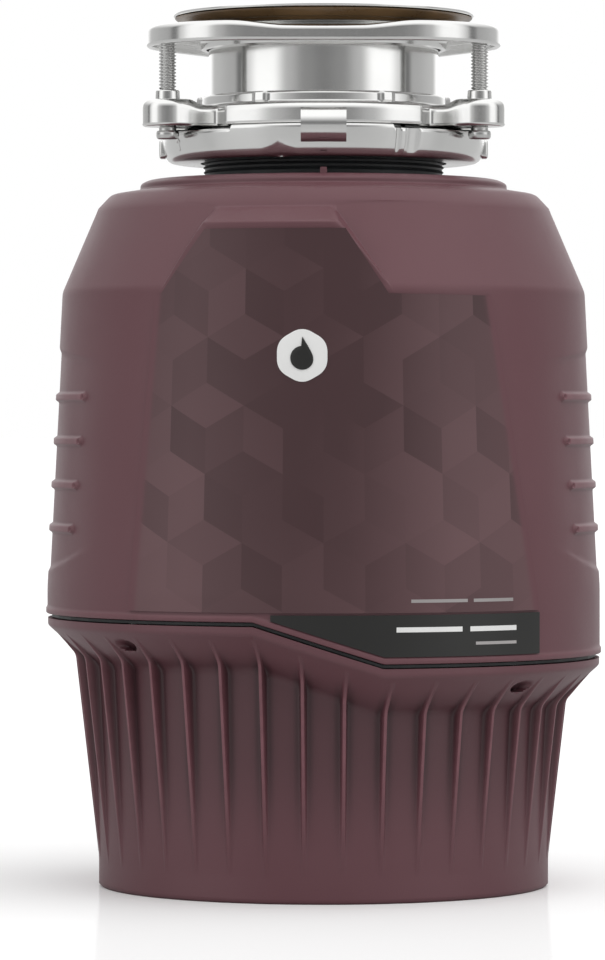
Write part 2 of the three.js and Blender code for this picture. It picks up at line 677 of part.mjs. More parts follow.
// The round body with an arm and a lobe at each mounting screw, and a thick ramp between the arms.
function mountingRing() {
  const [low, high] = MOUNTING_RING_Z;
  const armTop = high - 2;
  const lobeR = 9.5;
  let shape = rod(MOUNTING_RING_R, low, armTop, { sides: 32 });
  for (const turn of MOUNT_TURNS) {
    const at = atTurn(MOUNT_PCD, turn);
    const start = THREE.MathUtils.degToRad(turn + 180 - 90 - RAMP_HALF_TURN);
    const end = start + THREE.MathUtils.degToRad(2 * RAMP_HALF_TURN);
    const ramp = new THREE.Shape();
    ramp.absarc(0, 0, RAMP_R, start, end, false);
    ramp.absarc(0, 0, MOUNTING_RING_R - 2, end, start, true);
    shape = shape.add(prism(ramp, low, armTop));
    shape = shape.add(blockAtTurn(2 * lobeR, 22, armTop - low, MOUNT_PCD - 11, turn, (low + armTop) / 2));
    shape = shape.add(rod(lobeR, low, high, { ...at, sides: 16 }));
    shape = shape.add(rod(4.6, high - 1, high + 3.7, at));
  }
  shape = shape.add(ring(SLEEVE_R + 0.9, 46.4, armTop - 1, high + 2.9));
  shape = shape.subtract(rod(SLEEVE_R + 0.9, low - 1, high + 4, { sides: SIDES }));
  for (const turn of MOUNT_TURNS) {
    shape = shape.subtract(rod(MOUNT_SCREW_R + 0.4, low - 1, high + 5, atTurn(MOUNT_PCD, turn)));
  }
  return piece("mounting_ring", shape, STEEL);
}

// A triangle with wide round corners over the mounting screws. Only the corners outside the
// flange stand up to the full height, so they alone press on the underside of the sink.
function backupRing() {
  const [low, sideTop, top] = BACKUP_RING_Z;
  const outline = new THREE.Shape();
  for (const turn of MOUNT_TURNS.toSorted((a, b) => a - b)) {
    const at = atTurn(BACKUP_CORNER.at, turn);
    const middle = THREE.MathUtils.degToRad(turn - 90);
    outline.absarc(at.x, at.y, BACKUP_CORNER.r, middle - Math.PI / 3, middle + Math.PI / 3, false);
  }
  const hole = rod(SLEEVE_R + 0.9, low - 1, top + 1, { sides: SIDES });
  const underFlange = rod(FLANGE_R + 1, sideTop, top + 1, { sides: 32 });
  return piece("backup_ring", prism(outline, low, top).subtract(hole).subtract(underFlange), STEEL);
}

function mountingScrews() {
  return MOUNT_TURNS.map((turn, i) => {
    const slot = block(1.2, 12, 1.2, 0, 0, 0.5);
    const shape = rod(4.3, 0, 3).subtract(slot).add(rod(MOUNT_SCREW_R, 2.5, 35));
    const screw = piece(`mounting_screw_${i + 1}`, shape, ZINC);
    const at = atTurn(MOUNT_PCD, turn);
    screw.position.set(at.x, at.y, BACKUP_RING_Z[0] - GAP - 35);
    return screw;
  });
}

function sinkFlange() {
  const inner = SLEEVE_R - 2;
  const profile = [
    [inner, 283], [SLEEVE_R, 283], [SLEEVE_R, 324], [46, 326], [FLANGE_R, 329.2],
    [FLANGE_R, TOP_Z], [55.5, TOP_Z], [44.5, 326.8], [inner, 322],
  ];
  return piece("sink_flange", turned(profile, 32), STEEL);
}

function mountPieces() {
  const rimGasket = turned([[46.2, 324.4], [50, 324.4], [56.2, 328], [56.2, 328.5], [46.2, 325.7]], 32);
  return [
    mountGasket(),
    splashBaffle(),
    lockRing(),
    mountingRing(),
    ...mountingScrews(),
    piece("snap_ring", ring(SLEEVE_R + GAP, 46.5, 283.4, 285.4, 32), STEEL),
    backupRing(),
    piece("rim_gasket", rimGasket, BROWN_RUBBER),
    sinkFlange(),
  ];
}

// ---- underside ---------------------------------------------------------------------------
function undersidePieces() {
  const resetAt = atTurn(RESET_PCD, RESET_TURN);
  const button = piece("reset_button", rod(RESET_R, 0, 9).add(rod(5.5, 7.8, 9)), RED_PLASTIC);
  button.position.set(resetAt.x, resetAt.y, 1.5);
  const protector = piece("overload_protector", blockAtTurn(22, 16, 12, RESET_PCD, RESET_TURN, 20), BLACK_PLASTIC);
  const glandX = TERMINAL_X - 6;
  let cover = block(46, 26, 1.5, TERMINAL_X - 1, 0, 4.95);
  cover = cover.subtract(rod(8.3, 0, 9, { x: glandX, sides: 16 }));
  cover = cover.subtract(rod(2.1, 0, 9, { x: TERMINAL_X + 17 }));
  const gland = turned([[6, 0], [10, 0], [10, 1.3], [8, 1.3], [8, 7], [6, 7]], 16);
  const glandMesh = piece("cord_gland", gland, BLACK_PLASTIC, 2.6);
  glandMesh.position.x = glandX;
  const screw = piece("terminal_screw", rod(3.4, 0, 1.5).add(rod(1.8, 1, 7)), ZINC, 2.4);
  screw.position.x = TERMINAL_X + 17;
  return [button, protector, piece("terminal_cover", cover, CAST_ALUMINIUM), glandMesh, screw];
}

// ---- the whole disposer ------------------------------------------------------------------
const disposer = new THREE.Group();
disposer.name = "garbage_disposer";
disposer.add(
  lowerShell(), upperShell(), seamGasket(), ...shellScrews(),
  frontLabel(), labelBand(), emblem(),
  ...motorPieces(), ...rotorPieces(),
  ...grindPieces(), ...mountPieces(), ...undersidePieces(),
);

export default disposer;
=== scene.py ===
"""Kitchen garbage disposer: fine surfaces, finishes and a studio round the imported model.

Shapes are worked out in millimetres and put into their meshes in metres. "turn" is degrees round
the upright axis from the front, positive towards +X. Each shape is a grid of points: columns go
round the axis or along a path, and rows go round the piece's own section.
"""

import json

import bmesh
import bpy
import numpy as np
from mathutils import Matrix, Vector


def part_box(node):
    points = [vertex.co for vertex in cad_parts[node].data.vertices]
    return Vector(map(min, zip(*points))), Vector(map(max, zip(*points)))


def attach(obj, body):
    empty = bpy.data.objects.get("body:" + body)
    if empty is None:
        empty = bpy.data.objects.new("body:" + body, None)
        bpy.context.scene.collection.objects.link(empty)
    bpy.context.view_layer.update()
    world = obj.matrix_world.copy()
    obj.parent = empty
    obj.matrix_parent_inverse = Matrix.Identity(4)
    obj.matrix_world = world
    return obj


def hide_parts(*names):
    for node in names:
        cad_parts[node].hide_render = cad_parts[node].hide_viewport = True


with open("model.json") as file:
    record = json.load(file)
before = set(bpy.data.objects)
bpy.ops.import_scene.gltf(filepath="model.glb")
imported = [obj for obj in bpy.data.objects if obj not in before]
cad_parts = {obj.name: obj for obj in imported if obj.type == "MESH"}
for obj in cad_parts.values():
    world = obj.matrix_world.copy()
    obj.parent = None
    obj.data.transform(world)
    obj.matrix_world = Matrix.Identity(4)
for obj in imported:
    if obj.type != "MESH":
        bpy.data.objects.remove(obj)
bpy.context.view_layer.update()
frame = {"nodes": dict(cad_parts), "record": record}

bl_info = {
    "name": "Kitchen garbage disposer",
    "version": (1, 0, 0),
    "blender": (4, 5, 0),
    "location": "3D View > Sidebar > Disposer",
    "description": "Builds a garbage disposer's shells, label, sink mount and finishes round its frame",
    "category": "Add Mesh",
}

MM = 0.001


def limits(node):
    """Lowest and highest corner of a frame node, in millimetres."""
    low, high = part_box(node)
    return np.array(low) / MM, np.array(high) / MM


# ---- lengths that the frame gives ----------------------------------------------------------
GASKET_LOW, GASKET_HIGH = limits("seam_gasket")
GASKET_HALF = 0.5
BACKUP_LOW, BACKUP_HIGH = limits("backup_ring")
MOUNT_LOW, MOUNT_HIGH = limits("mounting_ring")
LOCK_LOW, _ = limits("lock_ring")
FLANGE_LOW, FLANGE_HIGH = limits("sink_flange")
SCREW_LOW, _ = limits("mounting_screw_1")
BUTTON_LOW, BUTTON_HIGH = limits("reset_button")
COVER_LOW, COVER_HIGH = limits("terminal_cover")
GLAND_LOW, GLAND_HIGH = limits("cord_gland")
OUTLET_LOW, OUTLET_HIGH = limits("outlet_flange")
BAFFLE_LOW, _ = limits("splash_baffle")

# ---- casing, in millimetres ----------------------------------------------------------------
STEP_TURNS = np.array([-14.21, 12.0])
SEAM_HALF = 0.85
BASE_R = 85.3
FOOT_INNER_R = 80.0
FLOOR_Z = 6.0
FIN_BASE_Z = 10.0
RIM_R = 104.6
BODY_R_LOW = 104.8
LIP_R = 105.3
LIP_HEIGHT = 2.3
INNER_R = 101.3
BODY_TAPER = 0.052
CREASE_Z = 224.5
CREASE_R = 99.0
SHOULDER_Z = 257.0
SHOULDER_R = 85.1
DORMER_TOP_Z = 248.0
DORMER_BACK_Z = 254.0
DORMER_LOW_X = np.array([-59.0, 24.5])
DORMER_TOP_X = np.array([-43.0, 7.7])
DORMER_SIDE_SLOPE = 3.0
SCREW_POCKET_TURNS = np.array([-132.63, -47.37, 47.37, 132.63])
GRIP_BAR_Z = np.array([184.9, 168.4, 152.0, 135.7])
GRIP_BAR_FRONT = np.array([61.5, 62.6, 63.8, 65.0])
OUTLET_WINDOW = np.array([32.0, 26.0])
OUTLET_Z = 147.0
INLET_Z = 215.0

# ---- sink mount, in millimetres ------------------------------------------------------------
MOUNT_TURNS = np.array([-60.0, 60.0, 180.0])
MOUNT_PCD = 67.2
SLEEVE_R = 43.6


# ---- user settings -------------------------------------------------------------------------
def length(name, text, default):
    """A length property, given in millimetres and held in metres."""
    return bpy.props.FloatProperty(
        name=name, description=text, default=default * MM, min=0.0, unit="LENGTH"
    )


def colour(name, text, default):
    """A linear colour property."""
    return bpy.props.FloatVectorProperty(
        name=name, description=text, default=default, size=3, min=0.0, max=1.0, subtype="COLOR"
    )


class DisposerSizes(bpy.types.PropertyGroup):
    """Lengths and counts of the casing and its mount."""

    seam_left: length("Seam, left", "Height of the seam left of its step", GASKET_HIGH[2] - GASKET_HALF)
    seam_right: length("Seam, right", "Height of the seam right of its step", GASKET_LOW[2] + GASKET_HALF)
    fin_count: bpy.props.IntProperty(name="Fins", description="Fins round the lower shell", default=38, min=4)
    fin_half_width: length("Fin edge", "Half the width of a fin at its edge", 0.55)
    grip_depth: length("Grip recess", "Depth of the two side grips", 0.8)
    grip_bar: length("Grip bar", "How far a grip bar stands proud", 1.05)
    block_side: length("Block side", "Side of one lozenge of the label's pattern", 16.5)
    thread_pitch: length("Thread pitch", "Pitch of the three mounting screws", 1.27)
    thread_depth: length("Thread depth", "Depth of the mounting screws' thread", 0.62)


class DisposerColours(bpy.types.PropertyGroup):
    """Base colours of the finishes."""

    plum: colour("Plum plastic", "The two casing shells", (0.112, 0.040, 0.050))
    plum_light: colour("Plum, drifted", "The shells where their colour drifts lighter", (0.122, 0.048, 0.058))
    label_dark: colour("Label, dark", "Darkest lozenge of the label", (0.050, 0.019, 0.022))
    label_light: colour("Label, light", "Lightest lozenge of the label", (0.122, 0.060, 0.066))
    band: colour("Label band", "Black band at the label's foot", (0.012, 0.012, 0.011))
    ink: colour("White film", "Badge and printed bars", (0.86, 0.86, 0.85))
    steel: colour("Steel", "Polished and plated steel", (0.78, 0.78, 0.77))
    rubber: colour("Rubber", "Gaskets and splash baffle", (0.012, 0.014, 0.015))
    copper: colour("Copper", "Motor windings", (0.62, 0.24, 0.09))


def sizes():
    """The user's lengths."""
    return bpy.context.scene.disposer_sizes


def colours():
    """The user's colours."""
    return bpy.context.scene.disposer_colours


# ---- working with arrays -------------------------------------------------------------------
def at_turn(radius, turn, height):
    """Points at a radius and a turn round the axis, at a height."""
    angle = np.radians(turn)
    parts = np.broadcast_arrays(radius * np.sin(angle), -radius * np.cos(angle), height)
    return np.stack(parts, axis=-1).astype(float)


def soft_least(a, b, reach):
    """The lesser of a and b, rounded off by a parabola where they differ by less than reach."""
    near = np.clip(reach - np.abs(a - b), 0.0, None) / reach
    return np.minimum(a, b) - near * near * reach / 4.0


def soft_most(a, b, reach):
    """The greater of a and b, rounded off in the same way."""
    return -soft_least(-a, -b, reach)


def ease(value, start, end):
    """0 at start and 1 at end, with a level slope at both."""
    along = np.clip((value - start) / (end - start), 0.0, 1.0)
    return along * along * (3.0 - 2.0 * along)


def softened(corners, reach=0.5, steps=3, closed=True):
    """A profile with each corner swapped for a parabola that starts and ends reach away from it."""
    corners = np.asarray(corners, float)
    before = np.roll(corners, 1, axis=0) - corners
    after = np.roll(corners, -1, axis=0) - corners
    before_length = np.linalg.norm(before, axis=1, keepdims=True)
    after_length = np.linalg.norm(after, axis=1, keepdims=True)
    cut = np.minimum(reach, 0.45 * np.minimum(before_length, after_length))
    if not closed:
        cut[[0, -1]] = 0.0
    start = (corners + before / before_length * cut)[:, None, :]
    end = (corners + after / after_length * cut)[:, None, :]
    t = np.linspace(0.0, 1.0, steps + 1)[None, :, None]
    curve = (1 - t) ** 2 * start + 2 * t * (1 - t) * corners[:, None, :] + t**2 * end
    if closed:
        return curve.reshape(-1, 2)
    return np.concatenate([corners[:1], curve[1:-1].reshape(-1, 2), corners[-1:]])


def evenly(points, count):
    """A closed outline's points, spaced evenly along its length."""
    closed = np.concatenate([points, points[:1]])
    along = np.concatenate([[0.0], np.cumsum(np.linalg.norm(np.diff(closed, axis=0), axis=1))])
    wanted = np.linspace(0.0, along[-1], count, endpoint=False)
    return np.stack([np.interp(wanted, along, closed[:, k]) for k in range(closed.shape[1])], axis=1)


def around(count):
    """Even turns round the axis."""
    return np.arange(count) * 360.0 / count


def spun(profile, count=96, centre=(0.0, 0.0)):
    """A [radius, height] profile carried round an upright axis."""
    profile = np.asarray(profile, float)
    points = at_turn(profile[None, :, 0], around(count)[:, None], profile[None, :, 1])
    return points + np.array([centre[0], centre[1], 0.0])


def lying_along_y(points, y, z):
    """Turns upright points so that their axis runs along +Y, from a centre at y and z."""
    return np.stack([points[..., 0], points[..., 2] + y, z - points[..., 1]], axis=-1)


def drawn_in(loop, shares):
    """A flat loop repeated as rows, each drawn in towards its middle by a share of its size."""
    middle = loop.mean(axis=0)
    return middle + (loop[:, None, :] - middle) * np.array(shares)[None, :, None]


# ---- grids to meshes -----------------------------------------------------------------------
def grid_faces(columns, rows, round_columns, round_rows):
    """Quads between neighbouring points of a grid numbered column by column."""
    column = np.arange(columns if round_columns else columns - 1)
    row = np.arange(rows if round_rows else rows - 1)
    column, row = np.meshgrid(column, row, indexing="ij")
    next_column = (column + 1) % columns
    next_row = (row + 1) % rows
    near = column * rows
    far = next_column * rows
    return np.stack([near + row, far + row, far + next_row, near + next_row], axis=-1).reshape(-1, 4)


def facing_out(points, faces):
    """The faces, turned over if they enclose a negative volume."""
    a, b, c, d = (points[faces[:, k]] for k in range(4))
    volume = np.einsum("ij,ij->", a, np.cross(b, c)) + np.einsum("ij,ij->", a, np.cross(c, d))
    return faces[:, ::-1] if volume < 0 else faces


def ring_shell(points):
    """A grid closed both ways, like a ring."""
    flat = points.reshape(-1, 3)
    return flat, facing_out(flat, grid_faces(points.shape[0], points.shape[1], True, True))


def braced(points, reach=0.3):
    """The grid with a row added just inside both ends of each long step between rows.

    Without these rows the soft shading of a rounded edge would spread over the flat beside it.
    """
    following = np.roll(points, -1, axis=1)
    spans = np.linalg.norm(following - points, axis=2).mean(axis=0)
    rows = []
    for number, span in enumerate(spans):
        rows.append(points[:, number])
        if span > 4.0 * reach:
            for share in (reach / span, 1.0 - reach / span):
                rows.append(points[:, number] * (1.0 - share) + following[:, number] * share)
    return np.stack(rows, axis=1)


def capped_shell(points):
    """A grid closed round its columns, whose first and last rows each come to a point or a line."""
    flat = points.reshape(-1, 3)
    return flat, facing_out(flat, grid_faces(points.shape[0], points.shape[1], True, False))


def sheet_shell(outer, inner):
    """Two open grids of one size, back to back, closed along their edges."""
    columns, rows = outer.shape[:2]
    count = columns * rows
    faces = grid_faces(columns, rows, False, False)
    index = np.arange(count).reshape(columns, rows)
    edge = np.concatenate([index[:-1, 0], index[-1, :-1], index[:0:-1, -1], index[0, :0:-1]])
    after = np.roll(edge, -1)
    side = np.stack([after, edge, edge + count, after + count], axis=-1)
    flat = np.concatenate([outer.reshape(-1, 3), inner.reshape(-1, 3)])
    return flat, facing_out(flat, np.concatenate([faces, faces[:, ::-1] + count, side]))


def bar_shell(section, start, end):
    """A closed section carried from one place to another, with flat ends closed at their middle."""
    middle = section.mean(axis=0)
    rows = [middle + start + 0 * section, section + start, section + end, middle + end + 0 * section]
    return capped_shell(np.stack(rows, axis=1))


def in_scene(made):
    """Puts an object in the scene."""
    bpy.context.scene.collection.objects.link(made)
    return made


def looking(made, place, aim=(0.0, 0.0, 0.0)):
    """Puts a lamp or a camera in its place and turns it to what it is aimed at."""
    made.location = place
    made.rotation_euler = (Vector(aim) - Vector(place)).to_track_quat("-Z", "Y").to_euler()
    return in_scene(made)


def piece(name, shells, body, slot, stands_for=(), crease=40.0, attributes=None):
    """One object made of closed shells. It rides on a body and stands for some frame nodes."""
    starts = np.cumsum([0] + [len(points) for points, _ in shells[:-1]])
    points = np.concatenate([points for points, _ in shells])
    faces = np.concatenate([quads + start for (_, quads), start in zip(shells, starts)]).astype(np.int32)
    mesh = bpy.data.meshes.new(name)
    mesh.vertices.add(len(points))
    mesh.vertices.foreach_set("co", (points * MM).astype(np.float32).ravel())
    mesh.loops.add(faces.size)
    mesh.loops.foreach_set("vertex_index", faces.ravel())
    mesh.polygons.add(len(faces))
    mesh.polygons.foreach_set("loop_start", np.arange(0, faces.size, 4, dtype=np.int32))
    mesh.update(calc_edges=True)
    for key, values in (attributes or {}).items():
        kind = "FLOAT_VECTOR" if values.ndim == 2 else "FLOAT"
        made = mesh.attributes.new(key, kind, "POINT")
        made.data.foreach_set("vector" if values.ndim == 2 else "value", values.astype(np.float32).ravel())
    close_poles(mesh)
    mesh.shade_smooth()
    mesh.set_sharp_from_angle(angle=np.radians(crease))
    made = in_scene(bpy.data.objects.new(name, mesh))
    mesh.materials.append(finish(slot))
    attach(made, body)
    if stands_for:
        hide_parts(*stands_for)
    return made


def close_poles(mesh):
    """Merges points that lie on each other, so that a fan of faces meets at one point."""
    work = bmesh.new()
    work.from_mesh(mesh)
    bmesh.ops.remove_doubles(work, verts=work.verts, dist=1e-6)
    work.to_mesh(mesh)
    work.free()


# ---- shader building blocks ----------------------------------------------------------------
def fill(tree, socket, value):
    """Joins another node's output to a socket, or sets a plain value on it."""
    if isinstance(value, bpy.types.NodeSocket):
        tree.links.new(value, socket)
    else:
        socket.default_value = (*value[:3], 1.0) if socket.type == "RGBA" else value


def put(tree, kind, inputs=None, **settings):
    """Adds a node, sets it up and joins or fills its inputs."""
    made = tree.nodes.new(kind)
    for key, value in settings.items():
        setattr(made, key, value)
    for key, value in (inputs or {}).items():
        fill(tree, made.inputs[key], value)
    return made


def maths(tree, operation, first, second=0.0, clamp=False):
    """One Math node's result."""
    return put(tree, "ShaderNodeMath", {0: first, 1: second}, operation=operation, use_clamp=clamp).outputs[0]


def total(tree, *values):
    """The sum of several values."""
    result = values[0]
    for value in values[1:]:
        result = maths(tree, "ADD", result, value)
    return result


def vectors(tree, operation, first, second=(0.0, 0.0, 0.0)):
    """One Vector Math node."""
    return put(tree, "ShaderNodeVectorMath", {0: first, 1: second}, operation=operation)


def scaled(tree, vector, factor):
    """A vector times a plain number."""
    return put(tree, "ShaderNodeVectorMath", {0: vector, "Scale": factor}, operation="SCALE").outputs[0]


def noise(tree, place, scale, detail=2.0):
    """Noise round 0.5, with features of about 1 / scale."""
    return put(tree, "ShaderNodeTexNoise", {"Vector": place, "Scale": scale, "Detail": detail}).outputs["Fac"]


def attribute(tree, name, output="Fac"):
    """A value that the piece keeps at each of its points."""
    return put(tree, "ShaderNodeAttribute", attribute_name=name).outputs[output]


def stretched(tree, value, low, high, to_low=0.0, to_high=1.0):
    """A value carried from one range to another, and held inside it."""
    inputs = {"Value": value, "From Min": low, "From Max": high, "To Min": to_low, "To Max": to_high}
    return put(tree, "ShaderNodeMapRange", inputs).outputs[0]


def blended(tree, factor, first, second):
    """Two colours mixed."""
    return put(tree, "ShaderNodeMix", {"Factor": factor, 6: first, 7: second}, data_type="RGBA").outputs[2]


def new_group(name, inputs, outputs):
    """An empty node group with named sockets, and its inner ends."""
    tree = bpy.data.node_groups.new(name, "ShaderNodeTree")
    kinds = {"colour": "NodeSocketColor", "value": "NodeSocketFloat", "vector": "NodeSocketVector"}
    for label, kind in inputs.items():
        tree.interface.new_socket(label, in_out="INPUT", socket_type=kinds[kind])
    for label, kind in outputs.items():
        tree.interface.new_socket(label, in_out="OUTPUT", socket_type=kinds[kind])
    return tree, tree.nodes.new("NodeGroupInput").outputs, tree.nodes.new("NodeGroupOutput").inputs


def object_place(tree):
    """The point on the object, in metres."""
    return put(tree, "ShaderNodeTexCoord").outputs["Object"]


def cloudy_colour_group():
    """A colour that drifts towards a second one in soft patches."""
    tree, given, out = new_group(
        "cloudy colour", {"Colour": "colour", "Drift": "colour", "Patches": "value"}, {"Colour": "colour"}
    )
    amount = stretched(tree, noise(tree, object_place(tree), given["Patches"], 4.0), 0.3, 0.7)
    tree.links.new(blended(tree, amount, given["Colour"], given["Drift"]), out["Colour"])
    return tree


def varied_gloss_group():
    """A roughness that varies a little over the surface, in patches and in a fine speckle."""
    tree, given, out = new_group(
        "varied gloss", {"Roughness": "value", "Spread": "value", "Patches": "value"}, {"Roughness": "value"}
    )
    place = object_place(tree)
    broad = noise(tree, place, given["Patches"], 3.0)
    fine = noise(tree, place, maths(tree, "MULTIPLY", given["Patches"], 14.0))
    both = maths(tree, "ADD", broad, maths(tree, "MULTIPLY", fine, 0.5))
    offset = maths(tree, "MULTIPLY", maths(tree, "SUBTRACT", both, 0.75), given["Spread"])
    tree.links.new(maths(tree, "ADD", given["Roughness"], offset, clamp=True), out["Roughness"])
    return tree


def moulded_grain_group():
    """The fine grain of a moulded or cast surface: small cells softened by noise."""
    tree, given, out = new_group("moulded grain", {"Fineness": "value"}, {"Height": "value"})
    place = object_place(tree)
    cells = put(tree, "ShaderNodeTexVoronoi", {"Vector": place, "Scale": given["Fineness"]})
    walls = maths(tree, "MULTIPLY", cells.outputs["Distance"], 0.6)
    height = maths(tree, "ADD", noise(tree, place, given["Fineness"]), walls)
    tree.links.new(height, out["Height"])
    return tree


def turned_lines_group():
    """Fine rings left by turning or rolling: noise that changes only with radius and height."""
    tree, given, out = new_group("turned lines", {"Fineness": "value"}, {"Height": "value"})
    parts = put(tree, "ShaderNodeSeparateXYZ", {0: object_place(tree)}).outputs
    flat = put(tree, "ShaderNodeCombineXYZ", {"X": parts["X"], "Y": parts["Y"]}).outputs[0]
    radius = vectors(tree, "LENGTH", flat).outputs["Value"]
    across = put(tree, "ShaderNodeCombineXYZ", {"X": radius, "Y": parts["Z"]}).outputs[0]
    tree.links.new(noise(tree, across, given["Fineness"], 3.0), out["Height"])
    return tree


def painted_edge_highlight_group():
    """A colour with a painted highlight: lighter, in patches, where the surface's own value marks an edge
    that catches the light.
    """
    tree, given, out = new_group(
        "painted edge highlight", {"Colour": "colour", "Edge": "colour", "Amount": "value"}, {"Colour": "colour"}
    )
    painted_light = stretched(tree, noise(tree, object_place(tree), 260.0, 3.0), 0.25, 0.6, 0.55, 1.0)
    patchy = maths(tree, "MULTIPLY", attribute(tree, "painted_highlight"), painted_light)
    amount = maths(tree, "MULTIPLY", patchy, given["Amount"], clamp=True)
    tree.links.new(blended(tree, amount, given["Colour"], given["Edge"]), out["Colour"])
    return tree


def tumbling_blocks_group():
    """A lozenge tiling that reads as stacked cubes. Each lozenge has a tone of its own.

    The plane is cut into pointed hexagons, and each hexagon into three lozenges by the lines from
    its middle to every other corner. "Place" is in lozenge sides.
    """
    tree, given, out = new_group("tumbling blocks", {"Place": "vector"}, {"Tone": "value", "Across": "value"})
    cell = (3.0**0.5, 3.0, 1.0)
    half = (3.0**0.5 / 2.0, 1.5, 0.0)
    nearest = []
    for shift in ((60.0 * cell[0], 60.0, 0.0), (60.0 * cell[0] + half[0], 61.5, 0.0)):
        moved = vectors(tree, "ADD", given["Place"], shift).outputs[0]
        wrapped = vectors(tree, "MODULO", moved, cell).outputs[0]
        nearest.append(vectors(tree, "SUBTRACT", wrapped, half).outputs[0])
    sizes_of = [vectors(tree, "LENGTH", place).outputs["Value"] for place in nearest]
    second = maths(tree, "GREATER_THAN", sizes_of[0], sizes_of[1])
    inputs = {0: second, 4: nearest[0], 5: nearest[1]}
    local = put(tree, "ShaderNodeMix", inputs, data_type="VECTOR").outputs[1]
    centre = vectors(tree, "SUBTRACT", given["Place"], local).outputs[0]
    parts = put(tree, "ShaderNodeSeparateXYZ", {0: local}).outputs
    angle = maths(tree, "ARCTAN2", parts["Y"], parts["X"])
    thirds = maths(tree, "DIVIDE", maths(tree, "ADD", angle, np.radians(330.0)), np.radians(120.0))
    third = maths(tree, "MODULO", maths(tree, "FLOOR", thirds), 3.0)
    seed = put(tree, "ShaderNodeCombineXYZ", {"Z": maths(tree, "MULTIPLY", third, 7.3)}).outputs[0]
    inside = vectors(tree, "ADD", centre, (0.2, 0.2, 0.0)).outputs[0]
    snapped = vectors(tree, "SNAP", inside, (0.433, 0.5, 1.0))
    seeded = vectors(tree, "ADD", snapped.outputs[0], seed).outputs[0]
    random = put(tree, "ShaderNodeTexWhiteNoise", {"Vector": seeded}).outputs["Value"]
    tree.links.new(random, out["Tone"])
    tree.links.new(parts["X"], out["Across"])
    return tree


GROUPS = {}
GROUP_MAKERS = {
    "cloudy colour": cloudy_colour_group,
    "varied gloss": varied_gloss_group,
    "moulded grain": moulded_grain_group,
    "turned lines": turned_lines_group,
    "painted edge highlight": painted_edge_highlight_group,
    "tumbling blocks": tumbling_blocks_group,
}


def use_group(tree, name, inputs):
    """Places a shared node group, which is made when it is first asked for."""
    if name not in GROUPS:
        GROUPS[name] = GROUP_MAKERS[name]()
    made = put(tree, "ShaderNodeGroup", node_tree=GROUPS[name])
    for key, value in inputs.items():
        fill(tree, made.inputs[key], value)
    return made.outputs


def new_material(name, **fixed):
    """A material with one Principled shader, whose even settings are put on its own sockets."""
    made = bpy.data.materials.new(f"{name}_finish")
    made.use_nodes = True
    tree = made.node_tree
    shader = tree.nodes["Principled BSDF"]
    for key, value in fixed.items():
        shader.inputs[key.replace("_", " ")].default_value = value
    return made, tree, shader


def bump(tree, shader, height, distance):
    """Joins a height to the shader's normal. The distance is in metres."""
    made = put(tree, "ShaderNodeBump", {"Height": height, "Distance": distance, "Strength": 1.0})
    tree.links.new(made.outputs[0], shader.inputs["Normal"])


def relief(tree, shader, group, fineness, depth):
    """Joins the height of a relief group to the shader's normal."""
    bump(tree, shader, use_group(tree, group, {"Fineness": fineness})["Height"], depth)


def gloss(tree, shader, roughness, spread, patches):
    """Joins the varied roughness to the shader."""
    inputs = {"Roughness": roughness, "Spread": spread, "Patches": patches}
    tree.links.new(use_group(tree, "varied gloss", inputs)["Roughness"], shader.inputs["Roughness"])


def toned(tint, factor):
    """A colour made darker or lighter, held at or below 1."""
    return tuple(min(1.0, part * factor) for part in tint)


# ---- finishes ------------------------------------------------------------------------------
def patchy_finish(name, base, drift, patches, shine, grain=None, over=None, **fixed):
    """A finish with a colour that drifts in patches, uneven gloss and a relief if one is given.

    "shine" holds the roughness, its spread and its patches. "grain" holds a relief group, its
    fineness and its depth. "over" changes the drifting colour before it reaches the shader.
    """
    made, tree, shader = new_material(name, **fixed)
    tint = use_group(tree, "cloudy colour", {"Colour": base, "Drift": drift, "Patches": patches})["Colour"]
    if over:
        tint = over(tree, tint)
    tree.links.new(tint, shader.inputs["Base Color"])
    gloss(tree, shader, *shine)
    if grain:
        relief(tree, shader, *grain)
    return made


def moulded_finish(name, base, drift, edge, roughness, depth):
    """Moulded plastic: drifting colour, a painted highlight on edges, painted shade in recesses, a fine grain
    and uneven gloss.
    """

    def painted_light(tree, tint):
        # Painted highlight on edges, then painted shade: darker where the "recess" value says so.
        highlighted = use_group(tree, "painted edge highlight", {"Colour": tint, "Edge": edge, "Amount": 0.6})["Colour"]
        return blended(tree, attribute(tree, "recess"), highlighted, toned(base, 0.30))

    return patchy_finish(
        name, base, drift, 14.0, (roughness, 0.10, 60.0), ("moulded grain", 1900.0, depth), painted_light
    )


def plum_finish():
    """The casing's satin plum plastic."""
    drift = tuple(colours().plum_light)
    # The edge colour, lighter than the drift, is a painted highlight.
    return moulded_finish("plum_plastic", tuple(colours().plum), drift, toned(drift, 1.9), 0.44, 0.00002)


